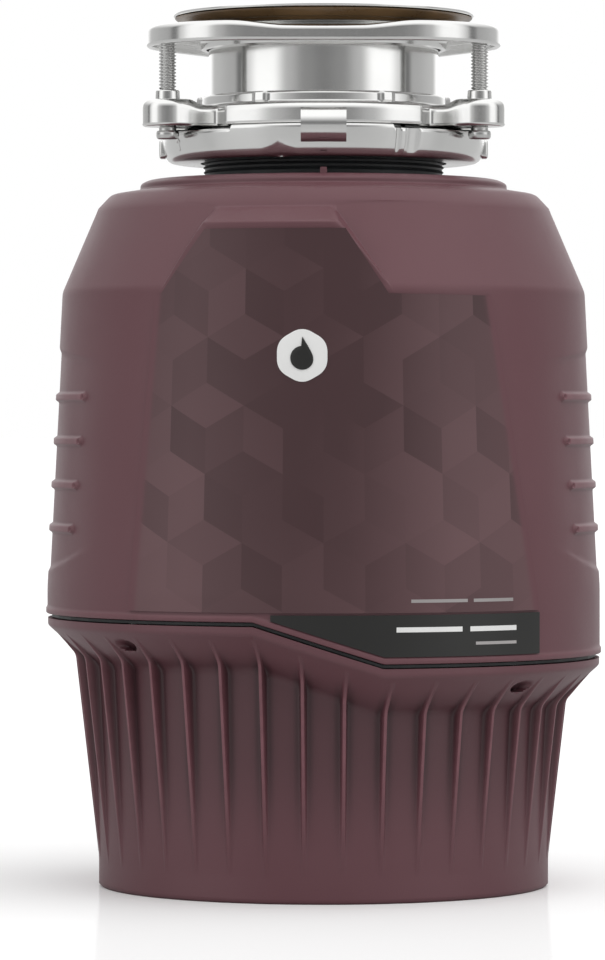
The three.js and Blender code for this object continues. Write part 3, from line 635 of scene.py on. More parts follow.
def label_finish():
    """Printed film: lozenges of uneven tone under a satin surface.

    The tone also falls towards the label's middle line, a painted shade that leaves both sides lighter like a
    reflection of the side lights, and towards its top.
    """
    made, tree, shader = new_material("label_film")
    place = attribute(tree, "place", "Vector")
    blocks = use_group(tree, "tumbling blocks", {"Place": scaled(tree, place, MM / sizes().block_side)})
    parts = put(tree, "ShaderNodeSeparateXYZ", {0: place}).outputs
    off_middle = maths(tree, "ABSOLUTE", maths(tree, "ADD", parts["X"], 1.5))
    even = total(
        tree,
        maths(tree, "MULTIPLY", blocks["Tone"], 0.62),
        maths(tree, "MULTIPLY", blocks["Across"], 0.16),
        # Painted shade along the middle line, lighter towards both sides.
        stretched(tree, off_middle, 9.0, 48.0, -0.30, 0.20),
        stretched(tree, parts["Y"], 115.0, 245.0, 0.12, -0.30),
    )
    broad = maths(tree, "MULTIPLY", noise(tree, place, 0.016, 1.0), 0.2)
    tone = maths(tree, "ADD", even, broad, clamp=True)
    pattern = blended(tree, tone, tuple(colours().label_dark), tuple(colours().label_light))
    bordered = blended(tree, attribute(tree, "border"), pattern, tuple(colours().plum))
    tree.links.new(bordered, shader.inputs["Base Color"])
    gloss(tree, shader, 0.46, 0.08, 80.0)
    relief(tree, shader, "moulded grain", 2600.0, 0.000008)
    return made


def film_finish(name, base, roughness):
    """A thin printed film in one colour, with uneven gloss, greyer where its "fade" value says so."""

    def faded(tree, tint):
        return blended(tree, attribute(tree, "fade"), tint, (0.16, 0.13, 0.13))

    return patchy_finish(name, base, toned(base, 0.86), 40.0, (roughness, 0.12, 90.0), None, faded)


def steel_finish(name, shade, roughness, lines, depth):
    """Bare or plated metal: turned lines, uneven gloss and a faint drift in colour."""
    base = toned(colours().steel, shade)
    shine = (roughness, roughness * 0.5, 50.0)
    grain = ("turned lines", lines, depth)
    return patchy_finish(name, base, toned(base, 0.93), 30.0, shine, grain, Metallic=1.0)


def cast_finish():
    """Cast aluminium: pale, rough and grainy."""
    return patchy_finish(
        "cast_aluminium", (0.56, 0.56, 0.55), (0.42, 0.42, 0.42), 45.0, (0.5, 0.2, 70.0),
        ("moulded grain", 900.0, 0.00008), Metallic=1.0,
    )


def lamination_finish():
    """A stack of thin varnished steel sheets: fine dark lines at even heights."""
    made, tree, shader = new_material("lamination_steel", Metallic=0.8)
    height = put(tree, "ShaderNodeSeparateXYZ", {0: object_place(tree)}).outputs["Z"]
    line = stretched(tree, maths(tree, "SINE", maths(tree, "MULTIPLY", height, 2.0 * np.pi / MM)), -0.9, 0.2)
    sheets = blended(tree, line, (0.05, 0.05, 0.055), (0.26, 0.27, 0.29))
    inputs = {"Colour": sheets, "Drift": (0.15, 0.13, 0.12), "Patches": 35.0}
    tree.links.new(use_group(tree, "cloudy colour", inputs)["Colour"], shader.inputs["Base Color"])
    gloss(tree, shader, 0.45, 0.15, 60.0)
    bump(tree, shader, line, 0.00006)
    return made


def copper_finish():
    """Enamelled copper wire, glossy over the metal."""
    base = tuple(colours().copper)
    return patchy_finish(
        "copper_wire", base, toned(base, 0.6), 60.0, (0.3, 0.15, 90.0), ("turned lines", 900.0, 0.0003),
        Metallic=1.0, Coat_Weight=0.6, Coat_Roughness=0.1,
    )


def rubber_finish(name, base, roughness):
    """Moulded rubber: dark, with a dusty bloom and a fine grain."""
    bloom = tuple(part * 2.2 + 0.004 for part in base)
    return patchy_finish(name, base, bloom, 45.0, (roughness, 0.14, 60.0), ("moulded grain", 1300.0, 0.00003))


def foam_finish():
    """Sound-deadening foam: pale, rough and full of small cells."""
    return patchy_finish(
        "foam", (0.66, 0.64, 0.58), (0.48, 0.46, 0.42), 120.0, (0.92, 0.08, 120.0),
        ("moulded grain", 420.0, 0.0009),
    )


def black_plastic_finish():
    """Black moulded plastic."""
    drift = (0.028, 0.028, 0.03)
    # The third colour is a painted edge highlight.
    return moulded_finish("black_plastic", (0.020, 0.020, 0.021), drift, (0.07, 0.07, 0.07), 0.42, 0.00003)


def red_plastic_finish():
    """Red moulded plastic."""
    drift = (0.52, 0.04, 0.03)
    # The third colour is a painted edge highlight.
    return moulded_finish("red_plastic", (0.45, 0.02, 0.015), drift, (0.7, 0.2, 0.15), 0.3, 0.00001)


FINISH_MAKERS = {
    "plum_plastic": plum_finish,
    "label_film": label_finish,
    "black_film": lambda: film_finish("black_film", tuple(colours().band), 0.4),
    "white_film": lambda: film_finish("white_film", tuple(colours().ink), 0.4),
    "polished_steel": lambda: steel_finish("polished_steel", 1.0, 0.13, 900.0, 0.000004),
    "plated_steel": lambda: steel_finish("plated_steel", 0.97, 0.17, 700.0, 0.000006),
    "zinc_steel": lambda: steel_finish("zinc_steel", 0.80, 0.24, 1500.0, 0.00001),
    "machined_steel": lambda: steel_finish("machined_steel", 0.85, 0.30, 2200.0, 0.00002),
    "cast_aluminium": cast_finish,
    "lamination_steel": lamination_finish,
    "copper_wire": copper_finish,
    "black_plastic": black_plastic_finish,
    "black_rubber": lambda: rubber_finish("black_rubber", tuple(colours().rubber), 0.5),
    "brown_rubber": lambda: rubber_finish("brown_rubber", (0.085, 0.050, 0.022), 0.3),
    "foam": foam_finish,
    "red_plastic": red_plastic_finish,
}
FINISHES = {}


def finish(slot):
    """The material of a slot of the record, made when it is first asked for."""
    if slot not in FINISHES:
        FINISHES[slot] = FINISH_MAKERS[slot]()
    return FINISHES[slot]


# ---- casing --------------------------------------------------------------------------------
def seam_at(turn):
    """Height of the seam: it falls evenly with the sine of the turn between the step's two ends."""
    start, end = np.sin(np.radians(STEP_TURNS))
    along = np.clip((np.sin(np.radians(turn)) - start) / (end - start), 0.0, 1.0)
    return (sizes().seam_left * (1.0 - along) + sizes().seam_right * along) / MM


def taper_radius(height):
    """Radius of the long straight taper of the upper shell."""
    return CREASE_R + (CREASE_Z - height) * BODY_TAPER


def plain_radius(height):
    """The taper and the shoulder cone, whichever is less, with a small round between them."""
    cone = CREASE_R - (height - CREASE_Z) * (CREASE_R - SHOULDER_R) / (SHOULDER_Z - CREASE_Z)
    return np.minimum(soft_least(taper_radius(height), cone, 0.5), BODY_R_LOW)


def dormer_radius(turn, height):
    """The front face carried up through the shoulder: the least of its face, top slope and sides."""
    plain = plain_radius(height)
    along = (height - CREASE_Z) / (DORMER_TOP_Z - CREASE_Z)
    side = plain * np.sin(np.radians(turn))
    left = DORMER_LOW_X[0] + (DORMER_TOP_X[0] - DORMER_LOW_X[0]) * along
    right = DORMER_LOW_X[1] + (DORMER_TOP_X[1] - DORMER_LOW_X[1]) * along
    face = taper_radius(height)
    top_drop = (face - plain_radius(DORMER_BACK_Z)) / (DORMER_BACK_Z - DORMER_TOP_Z)
    top = face - np.clip(height - DORMER_TOP_Z, 0.0, None) * top_drop
    sides = plain + np.minimum(side - left, right - side) * DORMER_SIDE_SLOPE
    raised = soft_least(soft_least(face, top, 0.7), sides, 1.6)
    front = (np.abs(turn) < 62.0) & (height > CREASE_Z - 2.0)
    return np.where(front, soft_most(plain, raised, 0.5), plain)


def grip_offset(turn, height):
    """The side grips: a shallow panel sunk into the wall, with four bars across it."""
    off_side = np.abs(np.abs(turn) - 90.0)
    top = 204.4 - 0.15 * off_side
    bottom = 118.6 + 10.9 * (off_side / 36.0) ** 2
    sunk = ease(off_side, 37.0, 22.0) * ease(height, top, top - 2.6) * ease(height, bottom, bottom + 2.6)
    offset = -sizes().grip_depth / MM * sunk
    for bar, front in zip(GRIP_BAR_Z, GRIP_BAR_FRONT):
        beyond = np.clip(off_side - (90.0 - front), 0.0, None) * np.radians(100.0)
        distance = np.hypot(beyond, height - bar)
        offset = offset + (sizes().grip_bar / MM + 0.25) * ease(distance, 2.1, 0.9)
        tip = np.hypot((off_side - (90.0 - front)) * np.radians(100.0), height - bar)
        offset = offset - 0.9 * ease(tip, 1.1, 0.3)
    return offset


def back_offset(turn, height):
    """Behind: a window sunk round the drain outlet, and a collar round the dishwasher inlet.

    The wall also dips 34 mm behind the outlet's bore and 22 mm inside the inlet's tube, so that it
    doesn't close them at their mouths. At that depth it still crosses both.
    """
    across = CREASE_R * np.sin(np.radians(180.0 - turn))
    behind = np.abs(turn) > 140.0
    edge = np.maximum(np.abs(across) - OUTLET_WINDOW[0], np.abs(height - OUTLET_Z) - OUTLET_WINDOW[1])
    inlet = np.hypot(across, height - INLET_Z)
    collar = 1.3 * ease(inlet, 17.5, 15.8)
    bore = np.hypot(across, height - OUTLET_Z)
    deep = -34.0 * ease(bore, 20.5, 18.5) - 22.0 * ease(inlet, 10.6, 9.0)
    return np.where(behind, -12.0 * ease(edge, 0.3, -0.5) + collar + deep, 0.0)


def upper_radius(turn, height):
    """Radius of the finished upper shell."""
    return dormer_radius(turn, height) + grip_offset(turn, height) + back_offset(turn, height)


def spread(*runs):
    """Sorted values from several (start, end, step) runs, with near doubles left out."""
    values = np.unique(np.concatenate([np.arange(start, end, step) for start, end, step in runs]))
    return values[np.concatenate([[True], np.diff(values) > 0.12])]


def dormer_turns():
    """Columns of the upper shell: close together where the dormer's sides and the grips begin."""
    low = np.degrees(np.arcsin(DORMER_LOW_X / CREASE_R))
    bars = [(side + start, side + start + 7.0, 0.35) for side in (-180.0, 0.0) for start in (60.2, 113.0)]
    edges = [(low[0] - 0.5, low[0] + 2.6, 0.16), (low[1] - 2.6, low[1] + 0.5, 0.16)]
    window = np.degrees(np.arcsin(OUTLET_WINDOW[0] / CREASE_R))
    outlet = [(side - 0.6, side + 0.7, 0.2) for side in (180.0 - window, window - 180.0)]
    bends = (*STEP_TURNS, 180.0 - STEP_TURNS[1], -180.0 - STEP_TURNS[0])
    seam = [(bend - 0.4, bend + 0.5, 0.3) for bend in bends]
    inlet = [(169.0, 179.9, 0.55), (-179.9, -169.0, 0.55)]
    return spread((-180.0, 180.0, 1.6), *bars, *edges, *outlet, *seam, *inlet)


def leaning_turns(turns, height):
    """Columns that lean with the dormer's two sides, so that edges follow them."""
    low = np.degrees(np.arcsin(DORMER_LOW_X / CREASE_R))
    along = np.clip((height - CREASE_Z) / (DORMER_TOP_Z - CREASE_Z), 0.0, 1.0)
    x = DORMER_LOW_X[:, None, None] + (DORMER_TOP_X - DORMER_LOW_X)[:, None, None] * along
    now = np.degrees(np.arcsin(x / plain_radius(CREASE_Z + along * (DORMER_TOP_Z - CREASE_Z))))
    left_share = np.interp(turns, [-62.0, low[0], low[1]], [0.0, 1.0, 0.0])
    right_share = np.interp(turns, [low[0], low[1], 55.0], [0.0, 1.0, 0.0])
    shift = left_share[:, None] * (now[0] - low[0]) + right_share[:, None] * (now[1] - low[1])
    return turns[:, None] + shift


def upper_shell():
    """The upper shell as one closed grid.

    The outside is R(turn, height): a taper, a shoulder, the front dormer, two grips and the back
    window. Above the shoulder and inside, one section is carried round the axis, with its last
    points further in behind the window.
    """
    turns = dormer_turns()
    seam = seam_at(turns)[:, None]
    bars = [(bar - 2.6, bar + 2.7, 0.42) for bar in GRIP_BAR_Z]
    window = (OUTLET_Z - OUTLET_WINDOW[1], OUTLET_Z + OUTLET_WINDOW[1])
    levels = spread(
        (112.0, DORMER_BACK_Z + 1.5, 2.4),
        *bars,
        (118.0, 132.0, 0.9),
        (198.5, 205.5, 0.6),
        *[(edge - 0.8, edge + 0.9, 0.25) for edge in window],
        (CREASE_Z - 1.6, CREASE_Z + 2.0, 0.35),
        (DORMER_TOP_Z - 2.0, DORMER_BACK_Z + 1.0, 0.45),
    )
    start = seam + SEAM_HALF + LIP_HEIGHT + 0.7
    low_rows = start + (112.0 - start) * np.array([0.0, 0.06, 0.2, 0.45, 0.75])
    heights = np.concatenate([low_rows, np.broadcast_to(levels, (len(turns), len(levels)))], axis=1)
    leaning = leaning_turns(turns, heights)
    outside = upper_radius(leaning, heights)
    body = at_turn(outside, leaning, heights)
    lip_low = seam + SEAM_HALF
    lip = [(LIP_R - 0.35, 0.0), (LIP_R, 0.35), (LIP_R, LIP_HEIGHT - 0.3), (LIP_R - 0.25, LIP_HEIGHT + 0.05)]
    lip_rows = [at_turn(radius, turns[:, None], lip_low + up) for radius, up in lip]
    top = softened(
        [
            (SHOULDER_R + 0.4, SHOULDER_Z - 0.8), (80.6, 261.4), (69.5, 263.2), (69.5, 265.4), (66.7, 266.9),
            (46.3, 268.0), (46.3, 265.4), (66.0, 262.0), (79.0, 257.0), (96.0, 222.0), (INNER_R, 116.0),
        ],
        1.6, 5, closed=False,
    )
    behind_window = np.where(np.abs(turns) > 150.0, 12.0, 0.0)[:, None]
    radii = np.broadcast_to(top[:, 0], (len(turns), len(top))).copy()
    radii[:, -3:] -= behind_window
    top_rows = at_turn(radii, turns[:, None], top[None, :, 1])
    under = at_turn(INNER_R, turns[:, None], lip_low)
    grid = np.concatenate([under, *lip_rows, body, top_rows], axis=1)
    # Painted highlight: a lighter colour where the grip bars stand proud and along the lip.
    painted_highlight = np.zeros(grid.shape[:2])
    first = 1 + len(lip)
    proud = outside - dormer_radius(leaning, heights)
    painted_highlight[:, first : first + heights.shape[1]] = np.clip(proud, 0.0, 1.0)
    painted_highlight[:, 2:4] = 0.35
    piece("upper_shell_skin", [ring_shell(grid)], "casing", "plum_plastic", ["upper_shell"], 50.0,
          {"painted_highlight": painted_highlight.ravel()})


def collar_tab():
    """The small tab standing on the collar's front edge: an upright block with soft corners."""
    outline = softened([(-1.4, 266.0), (1.4, 266.0), (1.2, 269.1), (-1.2, 269.1)], 0.4, 3)
    section = np.stack([outline[:, 0], 0.0 * outline[:, 0], outline[:, 1]], axis=1)
    block = bar_shell(section, np.array([0.0, -66.9, 0.0]), np.array([0.0, -64.4, 0.0]))
    piece("collar_tab", [block], "casing", "plum_plastic")


def fin_turns():
    """Columns of the lower shell: close together over each fin's edge and round each screw pocket."""
    pitch = 360.0 / sizes().fin_count
    offsets = np.array([0.0, 0.2, 0.34, 0.45, 0.58, 0.72, 1.0, 1.6, 2.6, 3.7])
    offsets = np.concatenate([-offsets[:0:-1], offsets, [pitch / 2.0]])
    fins = (np.arange(sizes().fin_count) + 0.5) * pitch - 180.0
    turns = (fins[:, None] + offsets[None, :]).ravel()
    pockets = (SCREW_POCKET_TURNS[:, None] + np.arange(-3.9, 4.0, 0.5)[None, :]).ravel()
    turns = np.unique(np.round(np.concatenate([turns, pockets, STEP_TURNS]), 3))
    return turns[np.concatenate([[True], np.diff(turns) > 0.1])]


def lower_radius(turn, height, seam):
    """Radius of the lower shell, how near each point is to a fin's edge for a painted highlight, and how much
    painted shade it gets beside a fin and in a screw pocket.

    Between fins the wall rises steeply and then flares out to the rim. A fin is a thin blade that
    leans out faster than the wall and runs out into the flare.
    """
    drop = seam - height
    pitch = 360.0 / sizes().fin_count
    off_fin = np.abs(((turn + 180.0) / pitch) % 1.0 - 0.5) * pitch
    rise = np.clip(height - FIN_BASE_Z, 0.0, None)
    flare = 103.6 - (drop - 4.5) * 1.108
    valley = soft_most(BASE_R + 0.052 * rise, flare, 2.0)
    fin_flare = np.interp(drop, [0.0, 2.2, 6.0, 9.8, 18.5, 118.5], [105.6, 104.7, 102.0, 98.6, 91.2, 6.0])
    fin = soft_most(BASE_R + 0.115 * rise, fin_flare, 1.2)
    off_mm = np.radians(off_fin) * valley
    edge = sizes().fin_half_width / MM
    share = ease(off_mm, edge + 0.75, edge - 0.1)
    radius = valley + np.clip(fin - valley, 0.0, None) * share
    pocket_across = np.min(np.abs(turn[..., None] - SCREW_POCKET_TURNS), axis=-1) * np.radians(97.0)
    pocket = np.hypot(pocket_across / 4.7, (drop - 9.0) / 2.0)
    radius = radius - 3.6 * ease(pocket, 1.1, 0.8)
    radius = soft_least(radius, RIM_R + 0 * radius, 0.8)
    # Painted highlight along each fin's edge; painted shade in the bays beside the fins and in the screw
    # pockets.
    stands = ease(fin - valley, 0.3, 3.0)
    painted_highlight = share * stands
    recess = (0.40 + 0.46 * ease(off_mm, 4.6, 1.7)) * (1.0 - share) * stands + 0.8 * ease(pocket, 1.0, 0.7)
    return radius, painted_highlight, np.clip(recess, 0.0, 0.9)


def lower_shell():
    """The lower shell as one closed grid: a cup with thin fins, a flared rim, a floor and a foot."""
    turns = fin_turns()
    seam = seam_at(turns)[:, None]
    low = np.concatenate([[0.9, 2.0, 5.0, 8.0], np.arange(9.5, 16.1, 1.3)])
    top = seam - SEAM_HALF
    bend = seam - 19.5
    straight = 16.5 + (bend - 16.5) * np.linspace(0.0, 1.0, 14)
    flare = bend + (top - bend) * np.linspace(0.0, 1.0, 34)[1:]
    heights = np.concatenate([np.broadcast_to(low, (len(turns), len(low))), straight, flare], axis=1)
    wide = np.broadcast_to(turns[:, None], heights.shape)
    radius, painted_highlight, recess = lower_radius(wide, heights, seam)
    outside = at_turn(radius, wide, heights)
    foot = at_turn(np.array([[FOOT_INNER_R, FOOT_INNER_R + 0.6, BASE_R - 0.9]]), turns[:, None],
                   np.array([[0.6, 0.0, 0.0]]))
    inner = [(INNER_R, -SEAM_HALF), (INNER_R, -2.9), (87.5, -15.7)]
    inner_rows = [at_turn(r, turns[:, None], seam + up) for r, up in inner]
    floor = softened(
        [(82.3, 14.0), (82.3, 9.0), (13.0, 9.0), (13.0, FLOOR_Z), (40.0, FLOOR_Z), (FOOT_INNER_R, FLOOR_Z)],
        0.6, 2, closed=False,
    )
    floor_rows = at_turn(floor[None, :, 0], turns[:, None], floor[None, :, 1])
    grid = np.concatenate([foot, outside, *inner_rows, floor_rows], axis=1)
    # The two point values hold the painted highlight on fin edges and the painted shade in bays and pockets.
    values = np.zeros((2, *grid.shape[:2]))
    values[:, :, 3 : 3 + painted_highlight.shape[1]] = painted_highlight, recess
    piece("lower_shell_skin", [ring_shell(grid)], "casing", "plum_plastic", ["lower_shell"], 50.0,
          {"painted_highlight": values[0].ravel(), "recess": values[1].ravel()})


def shell_screws():
    """The four casing screws, standing in their pockets with a cross pressed into each head.

    The head is a disc seen from below, sunk along both arms of the cross.
    """
    columns = around(48)[:, None]
    share = np.linspace(0.0, 1.0, 15)[None, :]
    for number in range(1, 5):
        low, high = limits(f"shell_screw_{number}")
        centre = np.array([*(low + high)[:2] / 2.0, 0.0])
        head = low[2] + 2.6
        flat = at_turn(3.4 * share, columns, head)
        cross = np.minimum(np.abs(flat[..., 0]), np.abs(flat[..., 1]))
        flat[..., 2] += 1.2 * ease(cross, 0.6, 0.35) * ease(share + 0.0 * columns, 0.72, 0.55)
        shank = [
            (3.6, head + 0.3), (3.6, head + 2.0), (1.9, head + 2.6), (1.9, high[2] - 1.0), (0.0, high[2]),
        ]
        grid = np.concatenate([flat, spun(shank, 48)], axis=1) + centre
        piece(f"shell_screw_{number}_shank", [capped_shell(grid)], "casing", "zinc_steel",
              [f"shell_screw_{number}"], 35.0)


# ---- label ---------------------------------------------------------------------------------
LABEL_LOW_Z = 106.8
LABEL_SIDE_Z = 221.5
LABEL_PEAK_Z = 245.5
LABEL_LIFT = 0.45
LABEL_THICK = 0.4
BAND_TOP_Z = 106.0
BADGE = {"x": -7.7, "z": 199.5, "r": 10.5}


def film(place, lift, thickness):
    """A thin film over the taper, from a grid of (turn, height), and the film's own flat place."""
    turn, height = place[..., 0], place[..., 1]
    radius = np.minimum(taper_radius(height), BODY_R_LOW) + lift
    outer = at_turn(radius + thickness, turn, height)
    inner = at_turn(radius, turn, height)
    flat = np.stack([np.radians(turn) * 100.0, height, 0.0 * height], axis=-1).reshape(-1, 3)
    return sheet_shell(outer, inner), np.concatenate([flat, flat])


def front_label():
    """The patterned film, ruled between a lower edge and an upper edge that climbs the dormer."""
    low_corners = np.array([[-42.5, LABEL_LOW_Z], [48.5, LABEL_LOW_Z]])
    top_corners = np.array([
        [-37.9, LABEL_SIDE_Z], [-36.2, LABEL_SIDE_Z + 1.0], [-25.9, LABEL_PEAK_Z], [4.6, LABEL_PEAK_Z],
        [13.6, LABEL_SIDE_Z + 0.5], [37.7, LABEL_SIDE_Z],
    ])
    shares = np.interp(top_corners[:, 0], top_corners[[0, -1], 0], [0.0, 1.0])
    u = np.unique(np.concatenate([np.linspace(0.0, 1.0, 120), shares]))
    low = np.stack([np.interp(u, [0, 1], low_corners[:, k]) for k in range(2)], axis=1)
    top = np.stack([np.interp(u, shares, top_corners[:, k]) for k in range(2)], axis=1)
    v = np.linspace(0.0, 1.0, 90)[None, :, None]
    place = low[:, None, :] * (1.0 - v) + top[:, None, :] * v
    shell, flat = film(place, LABEL_LIFT, LABEL_THICK)
    edge = np.minimum(u, 1.0 - u)[:, None] + 0.0 * v[..., 0]
    border = ease(edge, 0.030, 0.012).ravel()
    piece("front_label_film", [shell], "casing", "label_film", ["front_label"], 50.0,
          {"place": flat, "border": np.concatenate([border, border])})


def label_band():
    """The black band at the label's foot: its lower edge follows the lip over the seam."""
    left = np.degrees(np.arcsin(-19.0 / BODY_R_LOW))
    turns = np.linspace(left, 48.5, 90)
    low = np.minimum(seam_at(turns) + SEAM_HALF + 2.6, BAND_TOP_Z - 0.1)
    v = np.linspace(0.0, 1.0, 8)[None, :]
    heights = low[:, None] * (1.0 - v) + BAND_TOP_Z * v
    place = np.stack([np.broadcast_to(turns[:, None], heights.shape), heights], axis=-1)
    shell, _ = film(place, LABEL_LIFT, LABEL_THICK)
    piece("label_band_film", [shell], "casing", "black_film", ["label_band"])


def printed_bars():
    """Plain bars in place of lettering: a row over the black band and two rows on it."""
    rows = (
        (110.4, 111.6, ((17.4, 29.6), (31.0, 40.8)), 0.75),
        (99.8, 101.6, ((14.4, 28.4), (30.2, 41.7)), 0.0),
        (94.9, 96.0, ((31.5, 41.7),), 0.65),
    )
    shells = []
    fade = []
    for low, high, spans, greyness in rows:
        for start, end in spans:
            across = np.linspace(start, end, 24)
            place = np.stack(np.meshgrid(across, np.linspace(low, high, 4), indexing="ij"), axis=-1)
            shell, flat = film(place, LABEL_LIFT + LABEL_THICK - 0.12, 0.15)
            shells.append(shell)
            fade.append(np.full(len(flat), greyness))
    piece("printed_bars", shells, "casing", "white_film", attributes={"fade": np.concatenate(fade)})


def badge():
    """A white badge, six-sided with rounded corners, with a dark water drop on it."""
    height = BADGE["z"]
    radius = BADGE["r"]
    sixth = np.radians(around(6))
    corners = radius * np.stack([np.sin(sixth), np.cos(sixth)], axis=1)
    outline = evenly(softened(corners, 4.0, 8), 72)
    angle = np.radians(around(72))
    pull = 0.75 * np.clip(np.cos(angle / 2.0), 0.0, 1.0) ** 6
    drop = 4.3 * np.stack([np.sin(angle) * (1.0 - pull), np.cos(angle) + pull - 0.2], axis=1)
    for name, edge, lift, slot, node in (
        ("badge_film", outline, LABEL_LIFT + LABEL_THICK - 0.1, "white_film", ["emblem"]),
        ("badge_drop", drop, LABEL_LIFT + LABEL_THICK + 0.25, "black_film", []),
    ):
        share = np.array([0.0, 0.5, 0.97, 1.0, 1.0, 0.97, 0.5, 0.0])[None, :, None]
        rise = np.array([0.4, 0.4, 0.4, 0.34, 0.0, 0.0, 0.0, 0.0])[None, :]
        flat = edge[:, None, :] * share
        x = BADGE["x"] + flat[..., 0]
        z = height + flat[..., 1]
        out = taper_radius(z) + lift + rise
        points = np.stack([x, -np.sqrt(out**2 - x**2), z], axis=-1)
        piece(name, [capped_shell(points)], "casing", slot, node)


# ---- sink mount ----------------------------------------------------------------------------
def sink_flange():
    """Flange and sleeve in one: a dished brim turned over a straight tube."""
    bottom = FLANGE_LOW[2]
    top = FLANGE_HIGH[2]
    profile = [
        (SLEEVE_R - 2.0, bottom), (SLEEVE_R, bottom), (SLEEVE_R, 323.2), (46.0, 325.7), (57.0, 329.0),
        (57.2, top), (55.6, top), (44.5, 326.8), (SLEEVE_R - 2.0, 322.0),
    ]
    skin = ring_shell(braced(spun(softened(profile, 1.1, 4), 160)))
    piece("sink_flange_skin", [skin], "casing", "polished_steel", ["sink_flange"], 40.0)


def rim_gasket():
    """The brown gasket under the brim, with a shallow groove round its underside."""
    profile = [
        (46.2, 324.5), (49.8, 324.4), (51.2, 325.5), (52.6, 325.7), (55.9, 327.9), (56.6, 328.6),
        (46.2, 325.6),
    ]
    piece("rim_gasket_ring", [ring_shell(spun(softened(profile, 0.5, 3), 160))], "casing", "brown_rubber",
          ["rim_gasket"])


def outward(points):
    """Unit normals of a closed outline that runs anticlockwise."""
    along = np.roll(points, -1, axis=0) - np.roll(points, 1, axis=0)
    normal = np.stack([along[:, 1], -along[:, 0]], axis=1)
    return normal / np.linalg.norm(normal, axis=1, keepdims=True)


def raised(flat, height):
    """Flat points lifted to a height, which is one number or one for each point."""
    return np.concatenate([flat, np.broadcast_to(height, len(flat))[:, None]], axis=1)


def backup_outline(count):
    """A triangle with wide round corners, one over each mounting screw."""
    arcs = []
    for turn in np.sort(MOUNT_TURNS):
        centre = at_turn(31.9, turn, 0.0)[:2]
        arcs.append(centre + at_turn(39.1, turn + np.linspace(-60.0, 60.0, 60), 0.0)[:, :2])
    return evenly(np.concatenate(arcs), count)


def backup_ring():
    """The upper ring: a dished plate with a rolled lip round its hole and a deep rim.

    Each row runs round the plate: by the hole it is a circle, and at the rim it is the outline
    moved inwards. The top is lower over the straight sides.
    """
    outline = backup_outline(420)
    normal = outward(outline)
    turn = np.degrees(np.arctan2(outline[:, 0], -outline[:, 1]))
    off_side = np.abs((turn + 60.0) % 120.0 - 60.0)
    top = BACKUP_HIGH[2] - 1.5 * ease(off_side, 34.0, 14.0)
    low = BACKUP_LOW[2]
    hole_edge = [(44.5, 0.3), (45.3, -0.2), (46.4, 0.3), (46.8, 2.2), (47.8, 3.6), (49.6, 4.1)]
    inside_rim = [
        (4.6, 4.1), (3.0, 3.4), (2.4, 2.0), (2.2, 0.5), (1.6, 0.05), (0.8, 0.05), (0.15, 0.5), (0.0, 1.2),
    ]
    outside_rim = [(0.0, 2.1), (0.12, 1.4), (0.5, 0.7), (1.1, 0.2), (2.0, 0.0), (4.0, 0.1)]
    dish = [(51.5, 1.6), (47.6, 1.9), (45.2, 2.2), (44.5, 3.0)]
    rows = [
        *[at_turn(radius, turn, low + up) for radius, up in hole_edge],
        *[raised(outline - normal * inset, low + up) for inset, up in inside_rim],
        *[raised(outline - normal * inset, top - down) for inset, down in outside_rim],
        *[at_turn(radius, turn, BACKUP_HIGH[2] - down) for radius, down in dish],
    ]
    plate = ring_shell(braced(np.stack(rows, axis=1)))
    piece("backup_ring_plate", [plate], "backup_ring", "plated_steel", ["backup_ring"], 50.0)


LOBE_R = 9.5
RAMP_HALF_TURN = 40.5


def mounting_outline(count):
    """A disc joined to three arms with round ends, and swollen to a thick ramp between the arms.

    Along each turn the arm's edge is at LOBE_R over the sine of the angle from its middle, or on
    the round end.
    """
    turn = np.linspace(-180.0, 180.0, 14400, endpoint=False)
    off_arm = np.abs((turn - MOUNT_TURNS[1] + 60.0) % 120.0 - 60.0)
    sine = np.sin(np.radians(off_arm))
    reach = MOUNT_PCD * np.cos(np.radians(off_arm))
    lobe = reach + np.sqrt(np.clip(LOBE_R**2 - (MOUNT_PCD * sine) ** 2, 0.0, None))
    straight = LOBE_R / np.clip(sine, 0.05, None)
    arm = np.where(MOUNT_PCD * sine < LOBE_R, lobe, straight)
    arm = np.where(off_arm > 14.0, 0.0, arm)
    body = 53.0 + 7.3 * ease(60.0 - off_arm, RAMP_HALF_TURN + 1.5, RAMP_HALF_TURN - 3.5)
    radius = soft_most(body, arm, 5.0)
    return evenly(at_turn(radius, turn, 0.0)[:, :2], count)


